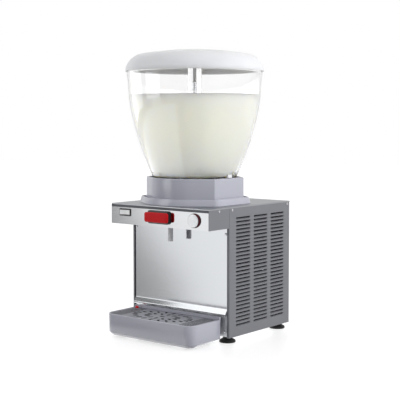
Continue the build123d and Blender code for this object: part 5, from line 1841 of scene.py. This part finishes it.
@dataclass
class Studio:
    """Pale floor, soft lamps, pale surround and the camera.

    The surround is a list of (azimuth, level) pairs. Its changes with the height lie between two sines of
    the elevation.
    """

    camera_place: tuple[float, float, float] = (1709.0, -2103.6, 580.2)
    camera_turn: float = 38.88
    camera_tip: float = 3.05
    sensor: float = 36.0
    lens: float = 89.7
    rise: float = -0.0684
    floor_half: float = 9000.0
    floor_colour: str = "#a0a0a1"
    floor_glow: float = 0.65
    floor_roughness: float = 0.35
    zenith: float = 0.58
    zenith_between: tuple[float, float] = (0.6, 0.95)
    white_share: float = 0.3
    lean: float = 2.8
    lean_between: tuple[float, float] = (-0.096, -0.17)
    low_between: tuple[float, float] = (-0.24, -0.3)
    surround: tuple[tuple[float, float], ...] = (
        (-180.0, 0.8), (-90.0, 0.8), (-75.0, 0.4), (-62.0, 0.08), (-48.0, 0.08), (-45.0, 0.36),
        (-42.7, 0.42), (-42.1, 1.72), (-26.0, 1.72), (-24.0, 0.07), (30.0, 0.1), (60.0, 0.7), (78.0, 1.25),
        (180.0, 1.25),
    )
    surround_low: tuple[tuple[float, float], ...] = (
        (-180.0, 3.0), (-2.0, 3.0), (6.0, 0.1), (55.0, 0.1), (75.0, 0.9), (180.0, 0.9),
    )
    lamps: tuple[Softbox, ...] = (
        Softbox("left_softbox", -34.8, 2000.0, 1250.0, (1150.0, 2000.0), 1.6, target=500.0),
        Softbox("left_fill", -80.0, 2200.0, 900.0, (1500.0, 1500.0), 2.7, mirrored=False),
        Softbox("right_softbox", 86.0, 2000.0, 1300.0, (1400.0, 1400.0), 4.8, mirrored=False),
    )

    def camera(self) -> None:
        """Stand the camera at the photograph's place, tipped down and with its frame shifted a little."""
        camera = bpy.data.cameras.new("camera")
        camera.sensor_width = self.sensor
        camera.lens = self.lens
        camera.shift_y = self.rise
        holder = bpy.data.objects.new("camera", camera)
        holder.location = Vector(self.camera_place) * MM
        tip = math.pi / 2.0 - math.radians(self.camera_tip)
        holder.rotation_euler = (tip, 0.0, math.radians(self.camera_turn))
        bpy.context.scene.collection.objects.link(holder)
        bpy.context.scene.camera = holder

    @staticmethod
    def straight_sight(tree: bpy.types.NodeTree) -> tuple[bpy.types.Node, Feed]:
        """Tell rays that the camera sends, straight or through glass, from all others.

        Args:
            tree: node tree that gets the nodes.

        Returns:
            The node that tells rays apart, and the feed that is 1 for those rays.
        """
        path = add_node(tree, "ShaderNodeLightPath")
        links = {0: (path, "Is Camera Ray"), 1: (path, "Is Transmission Ray")}
        return path, (add_node(tree, "ShaderNodeMath", links=links, operation="MAXIMUM"), "Value")

    def floor(self) -> None:
        """Pale floor that glows a little for the camera, so that it ends in white and keeps its shadows."""
        mesh = bpy.data.meshes.new("floor")
        side = np.array([(-1, -1, 0), (1, -1, 0), (1, 1, 0), (-1, 1, 0)]) * self.floor_half * MM
        mesh.from_pydata(side, [], [(0, 1, 2, 3)])
        material = bpy.data.materials.new("pale_floor")
        material.use_nodes = True
        tree = material.node_tree
        tree.nodes.clear()
        paint = add_node(
            tree, "ShaderNodeBsdfPrincipled",
            {"Base Color": linear(self.floor_colour), "Roughness": self.floor_roughness},
        )
        _, seen = self.straight_sight(tree)
        strength = add_node(tree, "ShaderNodeMath", {1: self.floor_glow}, {0: seen}, operation="MULTIPLY")
        glow = add_node(tree, "ShaderNodeEmission", links={"Strength": (strength, "Value")})
        both = add_node(tree, "ShaderNodeAddShader", links={0: (paint, "BSDF"), 1: (glow, "Emission")})
        add_node(tree, "ShaderNodeOutputMaterial", links={"Surface": (both, "Shader")})
        mesh.materials.append(material)
        holder = bpy.data.objects.new("floor", mesh)
        holder.visible_glossy = False
        bpy.context.scene.collection.objects.link(holder)

    def world(self) -> None:
        """White behind the object, and around it a pale surround that varies with the azimuth.

        The surround's uprights lean a little below the horizon, and further down it has levels of its own.
        Metal shows a share of the white, and glass shows it whole.
        """
        world = bpy.data.worlds.new("studio")
        bpy.context.scene.world = world
        world.use_nodes = True
        tree = world.node_tree
        tree.nodes.clear()
        place = add_node(tree, "ShaderNodeTexCoord")
        split = add_node(tree, "ShaderNodeSeparateXYZ", links={"Vector": (place, "Generated")})
        front = add_node(tree, "ShaderNodeMath", {1: -1.0}, {0: (split, "Y")}, operation="MULTIPLY")
        azimuth = add_node(
            tree, "ShaderNodeMath", links={0: (split, "X"), 1: (front, "Value")}, operation="ARCTAN2"
        )
        share, lean, downward, upward = (
            (add_node(
                tree, "ShaderNodeMapRange", {"From Min": start, "From Max": end, "To Max": most},
                {"Value": feed},
            ), "Result")
            for feed, (start, end), most in (
                ((azimuth, "Value"), (-math.pi, math.pi), 1.0),
                ((split, "Z"), self.lean_between, -self.lean / 360.0),
                ((split, "Z"), self.low_between, 1.0),
                ((split, "Z"), self.zenith_between, 1.0),
            )
        )
        leaning = add_node(tree, "ShaderNodeMath", links={0: share, 1: lean}, operation="ADD")
        ramps = []
        for levels in (self.surround, self.surround_low):
            ramps.append(add_node(tree, "ShaderNodeValToRGB", links={"Fac": (leaning, "Value")}))
            stops = ramps[-1].color_ramp.elements
            while len(stops) < len(levels):
                stops.new(0.5)
            for stop, (angle, level) in zip(stops, levels):
                stop.position = angle / 360.0 + 0.5
                stop.color = (level, level, level, 1.0)
        sides = add_node(
            tree, "ShaderNodeMix", links={0: downward, 6: (ramps[0], "Color"), 7: (ramps[1], "Color")},
            data_type="RGBA",
        )
        level = add_node(
            tree, "ShaderNodeMix", {7: (self.zenith, self.zenith, self.zenith, 1.0)},
            {0: upward, 6: (sides, 2)}, data_type="RGBA",
        )
        around = add_node(tree, "ShaderNodeBackground", links={"Color": (level, 2)})
        white = add_node(tree, "ShaderNodeBackground", {"Color": (1.0, 1.0, 1.0, 1.0)})
        path, seen = self.straight_sight(tree)
        whiteness = add_node(
            tree, "ShaderNodeMath", {1: self.white_share}, {0: (path, "Is Glossy Ray"), 2: seen},
            operation="MULTIPLY_ADD", use_clamp=True,
        )
        mix = add_node(
            tree, "ShaderNodeMixShader",
            links={0: (whiteness, "Value"), 1: (around, "Background"), 2: (white, "Background")},
        )
        add_node(tree, "ShaderNodeOutputWorld", links={"Surface": (mix, "Shader")})

    def build(self) -> None:
        """Set up the studio."""
        bpy.context.scene.view_settings.view_transform = "Standard"
        self.camera()
        self.floor()
        self.world()
        for lamp in self.lamps:
            lamp.build()


def main() -> None:
    """Build the studio and every sub-assembly, in order."""
    logging.basicConfig(level=logging.INFO)
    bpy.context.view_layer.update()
    Studio().build()
    for part in (Casing, Screws, Collar, Bowl, Agitator, Controls, Dispensing, Feet, Machinery):
        LOG.info("building %s", part.__name__)
        part().build()


if __name__ == "__main__":
    main()
